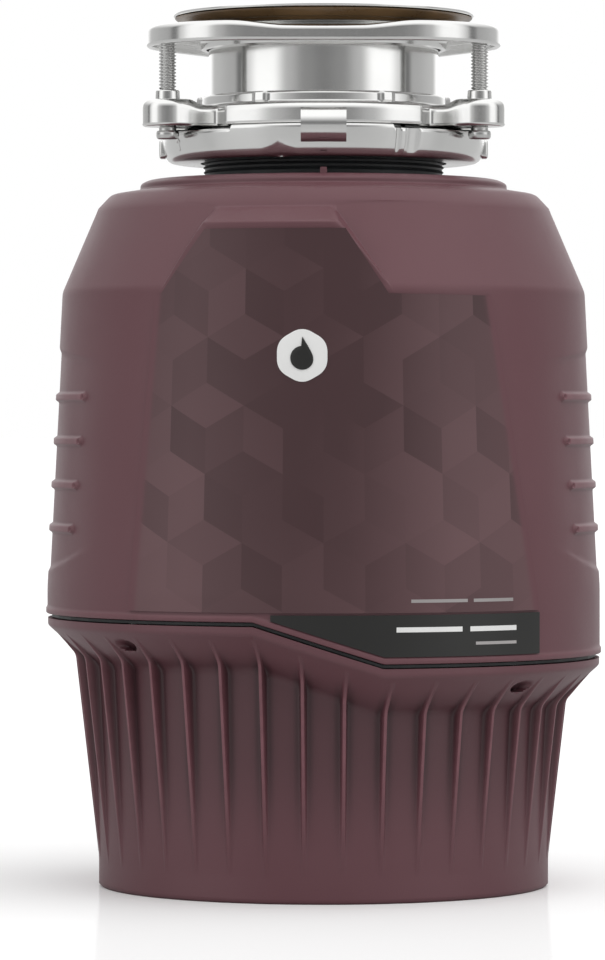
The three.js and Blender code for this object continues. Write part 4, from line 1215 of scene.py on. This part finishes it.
def mounting_ring():
    """The lower ring: collar, thick ramps and three arms, each with a collar for its screw."""
    outline = mounting_outline(600)
    normal = outward(outline)
    turn = np.degrees(np.arctan2(outline[:, 0], -outline[:, 1]))
    low = MOUNT_LOW[2]
    lobe_top = 295.8
    arm_top = 293.8
    collar_top = MOUNT_HIGH[2] - 0.8
    lobes = at_turn(MOUNT_PCD, MOUNT_TURNS, 0.0)[:, :2]
    bead = 1.5 * ease(np.abs(turn % 60.0 - 30.0), 4.2, 2.4)

    def topped(flat, drop):
        to_lobe = np.min(np.linalg.norm(flat[:, None, :] - lobes[None, :, :], axis=2), axis=1)
        return raised(flat, arm_top + (lobe_top - arm_top) * ease(to_lobe, 13.5, 8.0) - drop)

    inner = at_turn(48.6, turn, 0.0)[:, :2]
    outer = outline - normal * 3.2
    bore = [(44.5, low), (44.5, collar_top - 1.0), (44.9, collar_top - 0.2), (45.5, collar_top)]
    collar = [(46.2, collar_top - 0.2), (46.6, collar_top - 1.0), (46.7, arm_top + 1.2)]
    shoulder = [(2.1, 0.08), (1.2, 0.45), (0.5, 1.1), (0.12, 1.9), (0.0, 2.8)]
    rim = [(0.0, 3.0), (0.0, 0.9), (0.25, 0.3), (0.8, 0.0), (3.0, 0.0)]
    rows = [
        *[at_turn(radius, turn, height) for radius, height in bore],
        *[at_turn(radius + bead, turn, height) for radius, height in collar],
        at_turn(47.3, turn, arm_top + 0.3),
        *[topped(inner * (1.0 - share) + outer * share, 0.0) for share in np.linspace(0.0, 1.0, 12)],
        *[topped(outline - normal * inset, drop) for inset, drop in shoulder],
        *[raised(outline - normal * inset, low + up) for inset, up in rim],
    ]
    shells = [ring_shell(braced(np.stack(rows, axis=1)))]
    nut = softened([(3.5, 295.2), (4.7, 295.2), (4.5, 299.2), (3.5, 299.2)], 0.5, 3)
    for lobe in lobes:
        shells.append(ring_shell(braced(spun(nut, 28, lobe))))
    piece("mounting_ring_casting", shells, "casing", "plated_steel", ["mounting_ring"], 50.0)


def lock_ring():
    """The ring that locks the disposer to its mount.

    Its wall is carried round the axis with three raised tabs. In front it has a fold at the bottom
    edge and grooves to the right, and a lug rolled from the same sheet stands before it. Two ears
    at the sides and an arrow are shells of their own.
    """
    turns = spread((-180.0, 180.0, 1.2), (-36.0, 40.0, 0.3), (-25.0, -8.0, 0.25))
    low = LOCK_LOW[2]
    tab = np.zeros_like(turns)
    for shift in (-120.0, 0.0, 120.0):
        local = (turns - shift + 180.0) % 360.0 - 180.0
        tab = np.maximum(tab, ease(local, -34.6, -34.0) * ease(local, 25.6, 25.0))
    wall_top = 284.3 + 1.25 * tab
    grooves = -0.9 * ease(np.abs(turns - 27.0), 1.1, 0.5) - 1.1 * ease(np.abs(turns - 33.0), 3.6, 0.8)
    grooves += -0.5 * ease(np.abs(turns - 30.2), 0.5, 0.2)
    section = np.array([
        (46.7, low, 0.0, 0.0), (46.9, low, 0.0, 0.0), (56.2, low, 0.0, 0.0), (57.8, low + 0.25, 0.1, 0.0),
        (58.9, low + 0.9, 0.3, 0.0), (59.6, low + 1.8, 0.6, 0.0), (60.2, low + 3.0, 1.0, 0.0),
        (60.5, low + 4.2, 1.0, 0.0), (60.8, low + 5.6, 1.0, 0.0), (61.1, low + 7.0, 1.0, 0.0),
        (61.4, -1.6, 1.0, 1.0), (61.45, -0.8, 0.8, 1.0), (61.2, -0.2, 0.4, 1.0), (60.6, 0.0, 0.2, 1.0),
        (58.0, 0.0, 0.0, 1.0), (47.3, 285.4, 0.0, 0.0), (47.3, 283.1, 0.0, 0.0), (51.4, 283.1, 0.0, 0.0),
        (51.4, 276.6, 0.0, 0.0), (46.7, 275.2, 0.0, 0.0),
    ])
    wall_radius, level, moved, on_top = section.T
    height = level + wall_top[:, None] * on_top
    width = np.interp(height[0], [low, low + 6.2], [8.6, 0.01])
    fold = 0.2 * width * np.clip(1.0 - np.abs(turns[:, None] + 16.1) / width, 0.0, 1.0)
    radius = wall_radius + grooves[:, None] * moved - fold * (moved > 0.0)
    shells = [ring_shell(at_turn(radius, turns[:, None], height))]
    angle = np.radians(np.linspace(-76.0, 76.0, 30))
    front, back = (
        np.stack([0 * angle, -59.2 - deep * np.cos(angle), 285.0 + tall * np.sin(angle)], axis=1)
        for deep, tall in ((5.6, 6.6), (4.2, 5.2))
    )
    back = back[::-1]
    back[:, 1] = np.minimum(back[:, 1], -60.6)
    shells.append(bar_shell(np.concatenate([front, back]), np.array([-8.4, 0, 0]), np.array([8.4, 0, 0])))
    for side in (-90.0, 90.0):
        ear = softened([(-3.4, 275.4), (3.4, 275.4), (3.0, 282.6), (-3.0, 282.6)], 1.2, 3)
        flat = drawn_in(ear, [0.0, 1.0, 1.0, 0.9, 0.6, 0.0])
        depth = np.array([60.0, 60.0, 61.8, 62.25, 62.4, 62.4])[None, :]
        shells.append(capped_shell(at_turn(depth, side + np.degrees(flat[..., 0] / 61.0), flat[..., 1])))
    shells += arrow_mark()
    piece("lock_ring_sheet", shells, "lock_ring", "plated_steel", ["lock_ring"], 50.0)


def arrow_mark():
    """A small raised arrow on the lock ring's wall, made of three short bars."""
    shells = []
    ends = ((0.0, 277.0, 0.0, 281.6), (-1.3, 280.0, 0.0, 281.9), (1.3, 280.0, 0.0, 281.9))
    for start, end in np.array(ends).reshape(-1, 2, 2):
        run = end - start
        side = np.array([-run[1], run[0]]) / np.linalg.norm(run) * 0.28
        loop = np.array([start - side, end - side, end + side, start + side])
        flat = drawn_in(softened(loop, 0.15, 2), [0.0, 1.0, 1.0, 0.75, 0.0])
        base = 60.6 + (flat[..., 1] - 277.5) * 0.12
        depth = base + np.array([-0.5, -0.5, 0.15, 0.32, 0.32])[None, :]
        shells.append(capped_shell(at_turn(depth, -62.9 + np.degrees(flat[..., 0] / 61.0), flat[..., 1])))
    return shells


def mounting_screws():
    """Three screws. The thread's radius falls and rises with height less the turn's share of a pitch."""
    pitch = sizes().thread_pitch / MM
    depth = sizes().thread_depth / MM
    head = SCREW_LOW[2]
    tip = BACKUP_LOW[2] + 3.6
    for number, turn in enumerate(MOUNT_TURNS, start=1):
        columns = around(32)
        levels = np.arange(head + 4.0, tip - 0.8, pitch / 9.0)
        wave = np.abs(((levels[None, :] / pitch - columns[:, None] / 360.0) % 1.0) * 2.0 - 1.0)
        fade = ease(levels, head + 4.0, head + 5.2) * ease(levels, tip - 0.8, tip - 2.0)
        radius = 3.25 - depth * ease(wave, 0.15, 0.85) * fade[None, :]
        below = spun([(0.0, head), (3.4, head), (4.0, head + 0.35), (4.25, head + 1.2), (4.3, head + 2.4),
                      (4.0, head + 3.0), (3.3, head + 3.2)], 32)
        shank = at_turn(radius, columns[:, None], levels[None, :])
        above = spun([(2.5, tip - 0.2), (2.0, tip), (0.0, tip)], 32)
        grid = np.concatenate([below, shank, above], axis=1) + at_turn(MOUNT_PCD, turn, 0.0)
        node = f"mounting_screw_{number}"
        piece(f"{node}_thread", [capped_shell(grid)], node, "zinc_steel", [node], 35.0)


def mount_gasket():
    """The black cushion between the mount and the casing: a sleeve with three ribs."""
    height = np.linspace(262.5, 275.0, 50)
    rib = 0.7 * np.clip(np.cos((height - 271.9) * 2.0 * np.pi / 1.9), 0.0, 1.0) * ease(height, 269.0, 270.5)
    outside = np.stack([45.0 + rib, height], axis=1)
    rest = [
        (45.6, 275.4), (50.0, 277.0), (50.0, 282.2), (49.6, 282.5), (41.4, 282.5), (41.0, 282.1),
        (41.0, 276.0), (43.8, 272.5), (43.8, 262.5),
    ]
    profile = np.concatenate([outside, softened(rest, 0.4, 2, closed=False)])
    piece("mount_gasket_ribbed", [ring_shell(spun(profile, 140))], "casing", "black_rubber", ["mount_gasket"])


def splash_baffle():
    """The rubber baffle: a ring, and eight flaps that slope down to the hole with slits between."""
    low = BAFFLE_LOW[2]
    ring = softened([(31.5, low + 5.7), (40.6, low + 8.3), (40.6, low + 10.9), (31.5, low + 8.5)], 0.6, 3)
    shells = [ring_shell(spun(ring, 120))]
    for turn in around(8):
        radius = np.linspace(12.2, 32.0, 16)[:, None]
        half = 22.5 - np.degrees(0.35 / radius)
        across = np.linspace(-1.0, 1.0, 13)[None, :]
        sag = 0.9 * across**2 * ease(radius, 32.0, 12.0)
        height = low + 0.6 + (radius - 12.0) * 0.297 + sag
        upper = at_turn(radius + 0 * across, turn + half * across, height + 2.0)
        lower = at_turn(radius + 0 * across, turn + half * across, height)
        shells.append(sheet_shell(upper, lower))
    piece("splash_baffle_flaps", shells, "casing", "black_rubber", ["splash_baffle"], 45.0)


# ---- drain outlet, inlet and underside -----------------------------------------------------
def outlet_flange():
    """The drain's clamp plate: a rounded oblong round a bore, with a raised lip and two screws."""
    half_w, half_h = (OUTLET_HIGH - OUTLET_LOW)[[0, 2]] / 2.0
    face = OUTLET_HIGH[1]
    thick = OUTLET_HIGH[1] - OUTLET_LOW[1]
    corners = np.array([[-half_w, -half_h], [half_w, -half_h], [half_w, half_h], [-half_w, half_h]])
    outline = evenly(softened(corners, 9.0, 10), 160)
    angle = np.arctan2(outline[:, 1], outline[:, 0])
    hole = np.stack([np.cos(angle), np.sin(angle)], axis=1)
    normal = outward(outline)
    bore = [(16.0, -thick), (16.0, -0.5), (16.4, -0.1), (17.0, 0.0), (18.6, 0.0), (19.2, -0.25), (19.5, -0.9)]
    rim = [(2.2, -1.0), (1.0, -1.15), (0.25, -1.6), (0.0, -2.3), (0.0, 0.4 - thick), (0.4, -thick)]
    rows = [raised(hole * radius, height) for radius, height in bore]
    rows += [raised(outline - normal * inset, height) for inset, height in rim]
    plate = lying_along_y(np.stack(rows, axis=1), face, OUTLET_Z)
    piece("outlet_flange_plate", [ring_shell(braced(plate))], "casing", "plated_steel", ["outlet_flange"])
    for number, x in enumerate((-23.0, 23.0), start=1):
        screw_head(f"outlet_screw_{number}_head", (x, face - 0.9, OUTLET_Z), 4.0, "casing", "zinc_steel",
                   [f"outlet_screw_{number}"])


def screw_head(name, place, radius, body, slot, stands_for):
    """A domed screw head facing +Y, with a cross-shaped recess pressed into its dome."""
    columns = around(48)[:, None]
    share = np.linspace(0.0, 1.0, 18)[None, :]
    flat_x = radius * share * np.sin(np.radians(columns))
    flat_y = radius * share * np.cos(np.radians(columns))
    dome = 1.7 * np.sqrt(np.clip(1.0 - 0.75 * share**2, 0.0, 1.0)) + 0.0 * columns
    cross = np.minimum(np.abs(flat_x), np.abs(flat_y))
    recess = 1.1 * ease(cross, 0.62, 0.35) * ease(share + 0.0 * columns, 0.62, 0.45)
    top = np.stack([flat_x, flat_y, dome - recess - 0.85], axis=-1)
    skirt = spun([(radius, -0.85), (0.0, -0.85)], 48)
    grid = lying_along_y(np.concatenate([top, skirt], axis=1), place[1], place[2])
    piece(name, [capped_shell(grid + np.array([place[0], 0.0, 0.0]))], body, slot, stands_for, 35.0)


def grind_container():
    """The chamber round the grinding gear: a turned bowl and neck, with the dishwasher inlet."""
    profile = [
        (68.3, 175.0), (84.0, 175.0), (84.0, 178.0), (71.3, 178.0), (71.3, 226.0), (46.0, 252.0),
        (43.5, 254.0), (43.5, 272.0), (40.5, 272.0), (40.5, 251.5), (68.3, 224.0),
    ]
    tube = softened([(8.0, 0.0), (11.0, 0.0), (11.0, 33.2), (8.0, 33.2)], 0.6, 3)
    spigot = lying_along_y(spun(tube, 48), 69.8, INLET_Z)
    bead = softened([(8.2, 30.2), (11.4, 30.2), (11.6, 31.2), (11.4, 32.4), (8.2, 32.4)], 0.3, 3)
    ring = lying_along_y(spun(bead, 48), 69.8, INLET_Z)
    piece("grind_container_bowl", [ring_shell(spun(softened(profile, 1.5, 4), 120)), ring_shell(spigot),
                                   ring_shell(ring)], "casing", "black_plastic", ["grind_container"])


def reset_button():
    """The red reset button, with a domed cap and a ring pressed into it."""
    x, y = (BUTTON_LOW + BUTTON_HIGH)[:2] / 2.0
    low = BUTTON_LOW[2]
    corners = np.array([
        (0.0, 0.0), (1.6, 0.1), (2.1, 0.5), (2.6, 0.1), (3.6, 0.3), (4.0, 0.9), (4.0, 6.3), (5.5, 6.3),
        (5.5, 9.0), (0.0, 9.0),
    ])
    profile = softened(corners + np.array([0.0, low]), 0.35, 4, closed=False)
    piece("reset_button_cap", [capped_shell(spun(profile, 40, (x, y)))], "reset_button", "red_plastic",
          ["reset_button"])


def terminal_cover():
    """The pressed cover over the wiring: a rounded oblong dished towards its rim, open at the gland."""
    (x0, y0, _), (x1, y1, _) = COVER_LOW, COVER_HIGH
    corners = np.array([[x0, y0], [x1, y0], [x1, y1], [x0, y1]])
    outline = evenly(softened(corners, 4.0, 8), 120)
    normal = outward(outline)
    gland = (GLAND_LOW + GLAND_HIGH)[:2] / 2.0
    low = COVER_LOW[2]
    high = COVER_HIGH[2]
    start = gland + 8.0 * (outline - gland) / np.linalg.norm(outline - gland, axis=1, keepdims=True)
    rim = [(3.6, low + 0.3), (2.6, low), (1.0, low), (0.3, low + 0.2), (0.0, low + 0.7), (0.0, high)]
    dished = start * 0.9 + (outline - normal * 4.0) * 0.1
    rows = [raised(start, high), raised(start, low + 0.35), raised(dished, low + 0.3)]
    rows += [raised(outline - normal * inset, height) for inset, height in rim]
    piece("terminal_cover_plate", [ring_shell(braced(np.stack(rows, axis=1)))], "casing", "cast_aluminium",
          ["terminal_cover"])


def cord_gland():
    """The bushing that the supply cord would pass through: a flange, a barrel and a soft mouth."""
    x, y = (GLAND_LOW + GLAND_HIGH)[:2] / 2.0
    low = GLAND_LOW[2]
    high = GLAND_HIGH[2]
    corners = [
        (4.2, low + 0.6), (5.0, low), (9.2, low), (10.0, low + 0.6), (10.0, low + 1.3), (7.2, low + 1.5),
        (7.2, high), (4.2, high),
    ]
    bush = ring_shell(spun(softened(corners, 0.4, 3), 56, (x, y)))
    piece("cord_gland_bush", [bush], "casing", "black_plastic", ["cord_gland"])


# ---- frame pieces that keep their shape ----------------------------------------------------
def frame_finishes():
    """Gives every frame node the material of its slot in the record."""
    slot_of = {part["node"]: part["material_slot"] for part in frame["record"]["subparts"]}
    for name, made in frame["nodes"].items():
        for place in made.material_slots:
            place.material = finish(slot_of[name])


# ---- stage ---------------------------------------------------------------------------------
CAMERA_AT = (0.0, -1.915, 0.1756)
CAMERA_AIM = (-0.008, 0.0, 0.1535)
CAMERA_LENS = 189.0


def camera():
    """The camera: a long lens, level with the middle of the casing."""
    made = bpy.data.objects.new("camera", bpy.data.cameras.new("camera"))
    made.data.lens = CAMERA_LENS
    made.data.sensor_width = 36.0
    made.data.clip_start = 0.05
    made.data.clip_end = 60.0
    bpy.context.scene.camera = looking(made, CAMERA_AT, CAMERA_AIM)


def soft_sun(name, place, strength, softness):
    """A distant soft lamp that lights the object but isn't mirrored in the metal."""
    lamp = bpy.data.lights.new(name, "SUN")
    lamp.energy = strength
    lamp.angle = np.radians(softness)
    made = bpy.data.objects.new(name, lamp)
    looking(made, place).visible_glossy = False


def floor():
    """A pale floor with a faint gloss. It sends less light back up than the camera sees in it."""
    mesh = bpy.data.meshes.new("floor")
    reach = 50.0
    corners = [(-reach, -reach, 0), (reach, -reach, 0), (reach, reach, 0), (-reach, reach, 0)]
    mesh.from_pydata(corners, [], [(0, 1, 2, 3)])
    made = in_scene(bpy.data.objects.new("floor", mesh))
    material = bpy.data.materials.new("pale_floor")
    material.use_nodes = True
    tree = material.node_tree
    tree.nodes.clear()
    tone = stretched(tree, noise(tree, object_place(tree), 2.0), 0.0, 1.0, 0.985, 1.0)
    camera_ray = put(tree, "ShaderNodeLightPath").outputs["Is Camera Ray"]
    matt = put(tree, "ShaderNodeBsdfDiffuse", {"Color": blended(tree, camera_ray, (0.56, 0.56, 0.56), tone)})
    mirror = put(tree, "ShaderNodeBsdfGlossy", {"Color": (1.0, 1.0, 1.0, 1.0), "Roughness": 0.12})
    mixed = put(tree, "ShaderNodeMixShader", {0: 0.12, 1: matt.outputs[0], 2: mirror.outputs[0]})
    out = put(tree, "ShaderNodeOutputMaterial")
    tree.links.new(mixed.outputs[0], out.inputs["Surface"])
    mesh.materials.append(material)


CARD_BRIGHTNESS = 1.35


def studio_world():
    """A white surround. Mirrored in metal it is a ring of soft white cards with dark gaps.

    The card's brightness depends on the direction round the object, measured from the front. The
    surround is met by the rays themselves, so that each kind of ray sees its own brightness.
    """
    world = bpy.data.worlds.new("studio")
    bpy.context.scene.world = world
    world.use_nodes = True
    world.cycles.sampling_method = "NONE"
    tree = world.node_tree
    tree.nodes.clear()
    direction = put(tree, "ShaderNodeTexCoord").outputs["Generated"]
    parts = put(tree, "ShaderNodeSeparateXYZ", {0: direction}).outputs
    back = maths(tree, "MULTIPLY", parts["Y"], -1.0)
    round_front = maths(tree, "ABSOLUTE", maths(tree, "ARCTAN2", parts["X"], back))
    share = maths(tree, "DIVIDE", round_front, np.pi)
    ramp = put(tree, "ShaderNodeValToRGB", {"Fac": share})
    ramp.color_ramp.interpolation = "EASE"
    stops = ((0.0, 0.17), (0.10, 0.22), (0.20, 0.42), (0.29, 1.0), (0.38, 1.0), (0.46, 0.62), (0.495, 0.13),
             (0.52, 0.13), (0.56, 0.36), (0.78, 0.45), (0.88, 0.95), (1.0, 1.0))
    elements = ramp.color_ramp.elements
    while len(elements) < len(stops):
        elements.new(0.5)
    elements.foreach_set("position", [place for place, _ in stops])
    for element, (_, tone) in zip(elements, stops):
        element.color = (tone, tone, tone, 1.0)
    above = stretched(tree, parts["Z"], 0.25, 0.75)
    cards = scaled(tree, blended(tree, above, ramp.outputs["Color"], (1.0, 1.0, 1.0)), CARD_BRIGHTNESS)
    rays = put(tree, "ShaderNodeLightPath").outputs
    seen = blended(tree, rays["Is Glossy Ray"], (0.80, 0.80, 0.80), cards)
    final = blended(tree, rays["Is Camera Ray"], seen, (1.0, 1.0, 1.0))
    lit = put(tree, "ShaderNodeBackground", {"Color": final, "Strength": 1.0})
    out = put(tree, "ShaderNodeOutputWorld")
    tree.links.new(lit.outputs[0], out.inputs["Surface"])


def stage():
    """Floor, surround, lamps, camera and view settings."""
    studio_world()
    floor()
    soft_sun("key_right", (0.9, -0.45, 1.7), 1.05, 70.0)
    soft_sun("fill_left", (-1.6, -1.2, 0.6), 0.30, 60.0)
    camera()
    bpy.context.scene.view_settings.view_transform = "Standard"


# ---- operators -----------------------------------------------------------------------------
class DISPOSER_OT_frame_finishes(bpy.types.Operator):
    """Gives every frame piece the finish of its slot"""

    bl_idname = "disposer.frame_finishes"
    bl_label = "Frame finishes"

    def execute(self, context):
        frame_finishes()
        return {"FINISHED"}


class DISPOSER_OT_upper_shell(bpy.types.Operator):
    """Builds the upper shell with its dormer, grips and back window"""

    bl_idname = "disposer.upper_shell"
    bl_label = "Upper shell"

    def execute(self, context):
        upper_shell()
        collar_tab()
        return {"FINISHED"}


class DISPOSER_OT_lower_shell(bpy.types.Operator):
    """Builds the ribbed lower shell and its four screws"""

    bl_idname = "disposer.lower_shell"
    bl_label = "Lower shell"

    def execute(self, context):
        lower_shell()
        shell_screws()
        return {"FINISHED"}


class DISPOSER_OT_label(bpy.types.Operator):
    """Builds the patterned label and the black band at its foot"""

    bl_idname = "disposer.label"
    bl_label = "Label"

    def execute(self, context):
        front_label()
        label_band()
        return {"FINISHED"}


class DISPOSER_OT_markings(bpy.types.Operator):
    """Builds the plain bars and the badge on the label"""

    bl_idname = "disposer.markings"
    bl_label = "Markings"

    def execute(self, context):
        printed_bars()
        badge()
        return {"FINISHED"}


class DISPOSER_OT_sink_flange(bpy.types.Operator):
    """Builds the flange with its sleeve and the brown gasket under it"""

    bl_idname = "disposer.sink_flange"
    bl_label = "Sink flange"

    def execute(self, context):
        sink_flange()
        rim_gasket()
        return {"FINISHED"}


class DISPOSER_OT_mount_rings(bpy.types.Operator):
    """Builds the backup ring, the mounting ring and the lock ring"""

    bl_idname = "disposer.mount_rings"
    bl_label = "Mount rings"

    def execute(self, context):
        backup_ring()
        mounting_ring()
        lock_ring()
        return {"FINISHED"}


class DISPOSER_OT_mounting_screws(bpy.types.Operator):
    """Builds the three threaded screws"""

    bl_idname = "disposer.mounting_screws"
    bl_label = "Mounting screws"

    def execute(self, context):
        mounting_screws()
        return {"FINISHED"}


class DISPOSER_OT_rubber_parts(bpy.types.Operator):
    """Builds the ribbed mount gasket and the splash baffle"""

    bl_idname = "disposer.rubber_parts"
    bl_label = "Rubber parts"

    def execute(self, context):
        mount_gasket()
        splash_baffle()
        return {"FINISHED"}


class DISPOSER_OT_drain(bpy.types.Operator):
    """Builds the drain outlet's clamp plate and its screws"""

    bl_idname = "disposer.drain"
    bl_label = "Drain plate"

    def execute(self, context):
        outlet_flange()
        return {"FINISHED"}


class DISPOSER_OT_container(bpy.types.Operator):
    """Builds the bowl round the grinding gear"""

    bl_idname = "disposer.container"
    bl_label = "Grind container"

    def execute(self, context):
        grind_container()
        return {"FINISHED"}


class DISPOSER_OT_underside(bpy.types.Operator):
    """Builds the reset button, the terminal cover and the cord gland"""

    bl_idname = "disposer.underside"
    bl_label = "Underside"

    def execute(self, context):
        reset_button()
        terminal_cover()
        cord_gland()
        return {"FINISHED"}


class DISPOSER_OT_stage(bpy.types.Operator):
    """Builds the floor, the surround, the lamps and the camera"""

    bl_idname = "disposer.stage"
    bl_label = "Stage"

    def execute(self, context):
        stage()
        return {"FINISHED"}


OPERATORS = (
    DISPOSER_OT_frame_finishes,
    DISPOSER_OT_upper_shell,
    DISPOSER_OT_lower_shell,
    DISPOSER_OT_label,
    DISPOSER_OT_markings,
    DISPOSER_OT_sink_flange,
    DISPOSER_OT_mount_rings,
    DISPOSER_OT_mounting_screws,
    DISPOSER_OT_rubber_parts,
    DISPOSER_OT_drain,
    DISPOSER_OT_container,
    DISPOSER_OT_underside,
    DISPOSER_OT_stage,
)


class DISPOSER_PT_build(bpy.types.Panel):
    """Lists the disposer's settings and operators."""

    bl_idname = "DISPOSER_PT_build"
    bl_label = "Garbage disposer"
    bl_space_type = "VIEW_3D"
    bl_region_type = "UI"
    bl_category = "Disposer"

    def draw(self, context):
        for group in (context.scene.disposer_sizes, context.scene.disposer_colours):
            for key in group.__annotations__:
                self.layout.prop(group, key)
        for operator in OPERATORS:
            self.layout.operator(operator.bl_idname, text=operator.bl_label)


CLASSES = (DisposerSizes, DisposerColours, *OPERATORS, DISPOSER_PT_build)


def register():
    for made in CLASSES:
        bpy.utils.register_class(made)
    bpy.types.Scene.disposer_sizes = bpy.props.PointerProperty(type=DisposerSizes)
    bpy.types.Scene.disposer_colours = bpy.props.PointerProperty(type=DisposerColours)


def unregister():
    del bpy.types.Scene.disposer_colours
    del bpy.types.Scene.disposer_sizes
    for made in reversed(CLASSES):
        bpy.utils.unregister_class(made)


def main():
    """Builds everything in order."""
    register()
    for operator in OPERATORS:
        getattr(bpy.ops.disposer, operator.bl_idname.split(".")[1])()


if __name__ == "__main__":
    main()
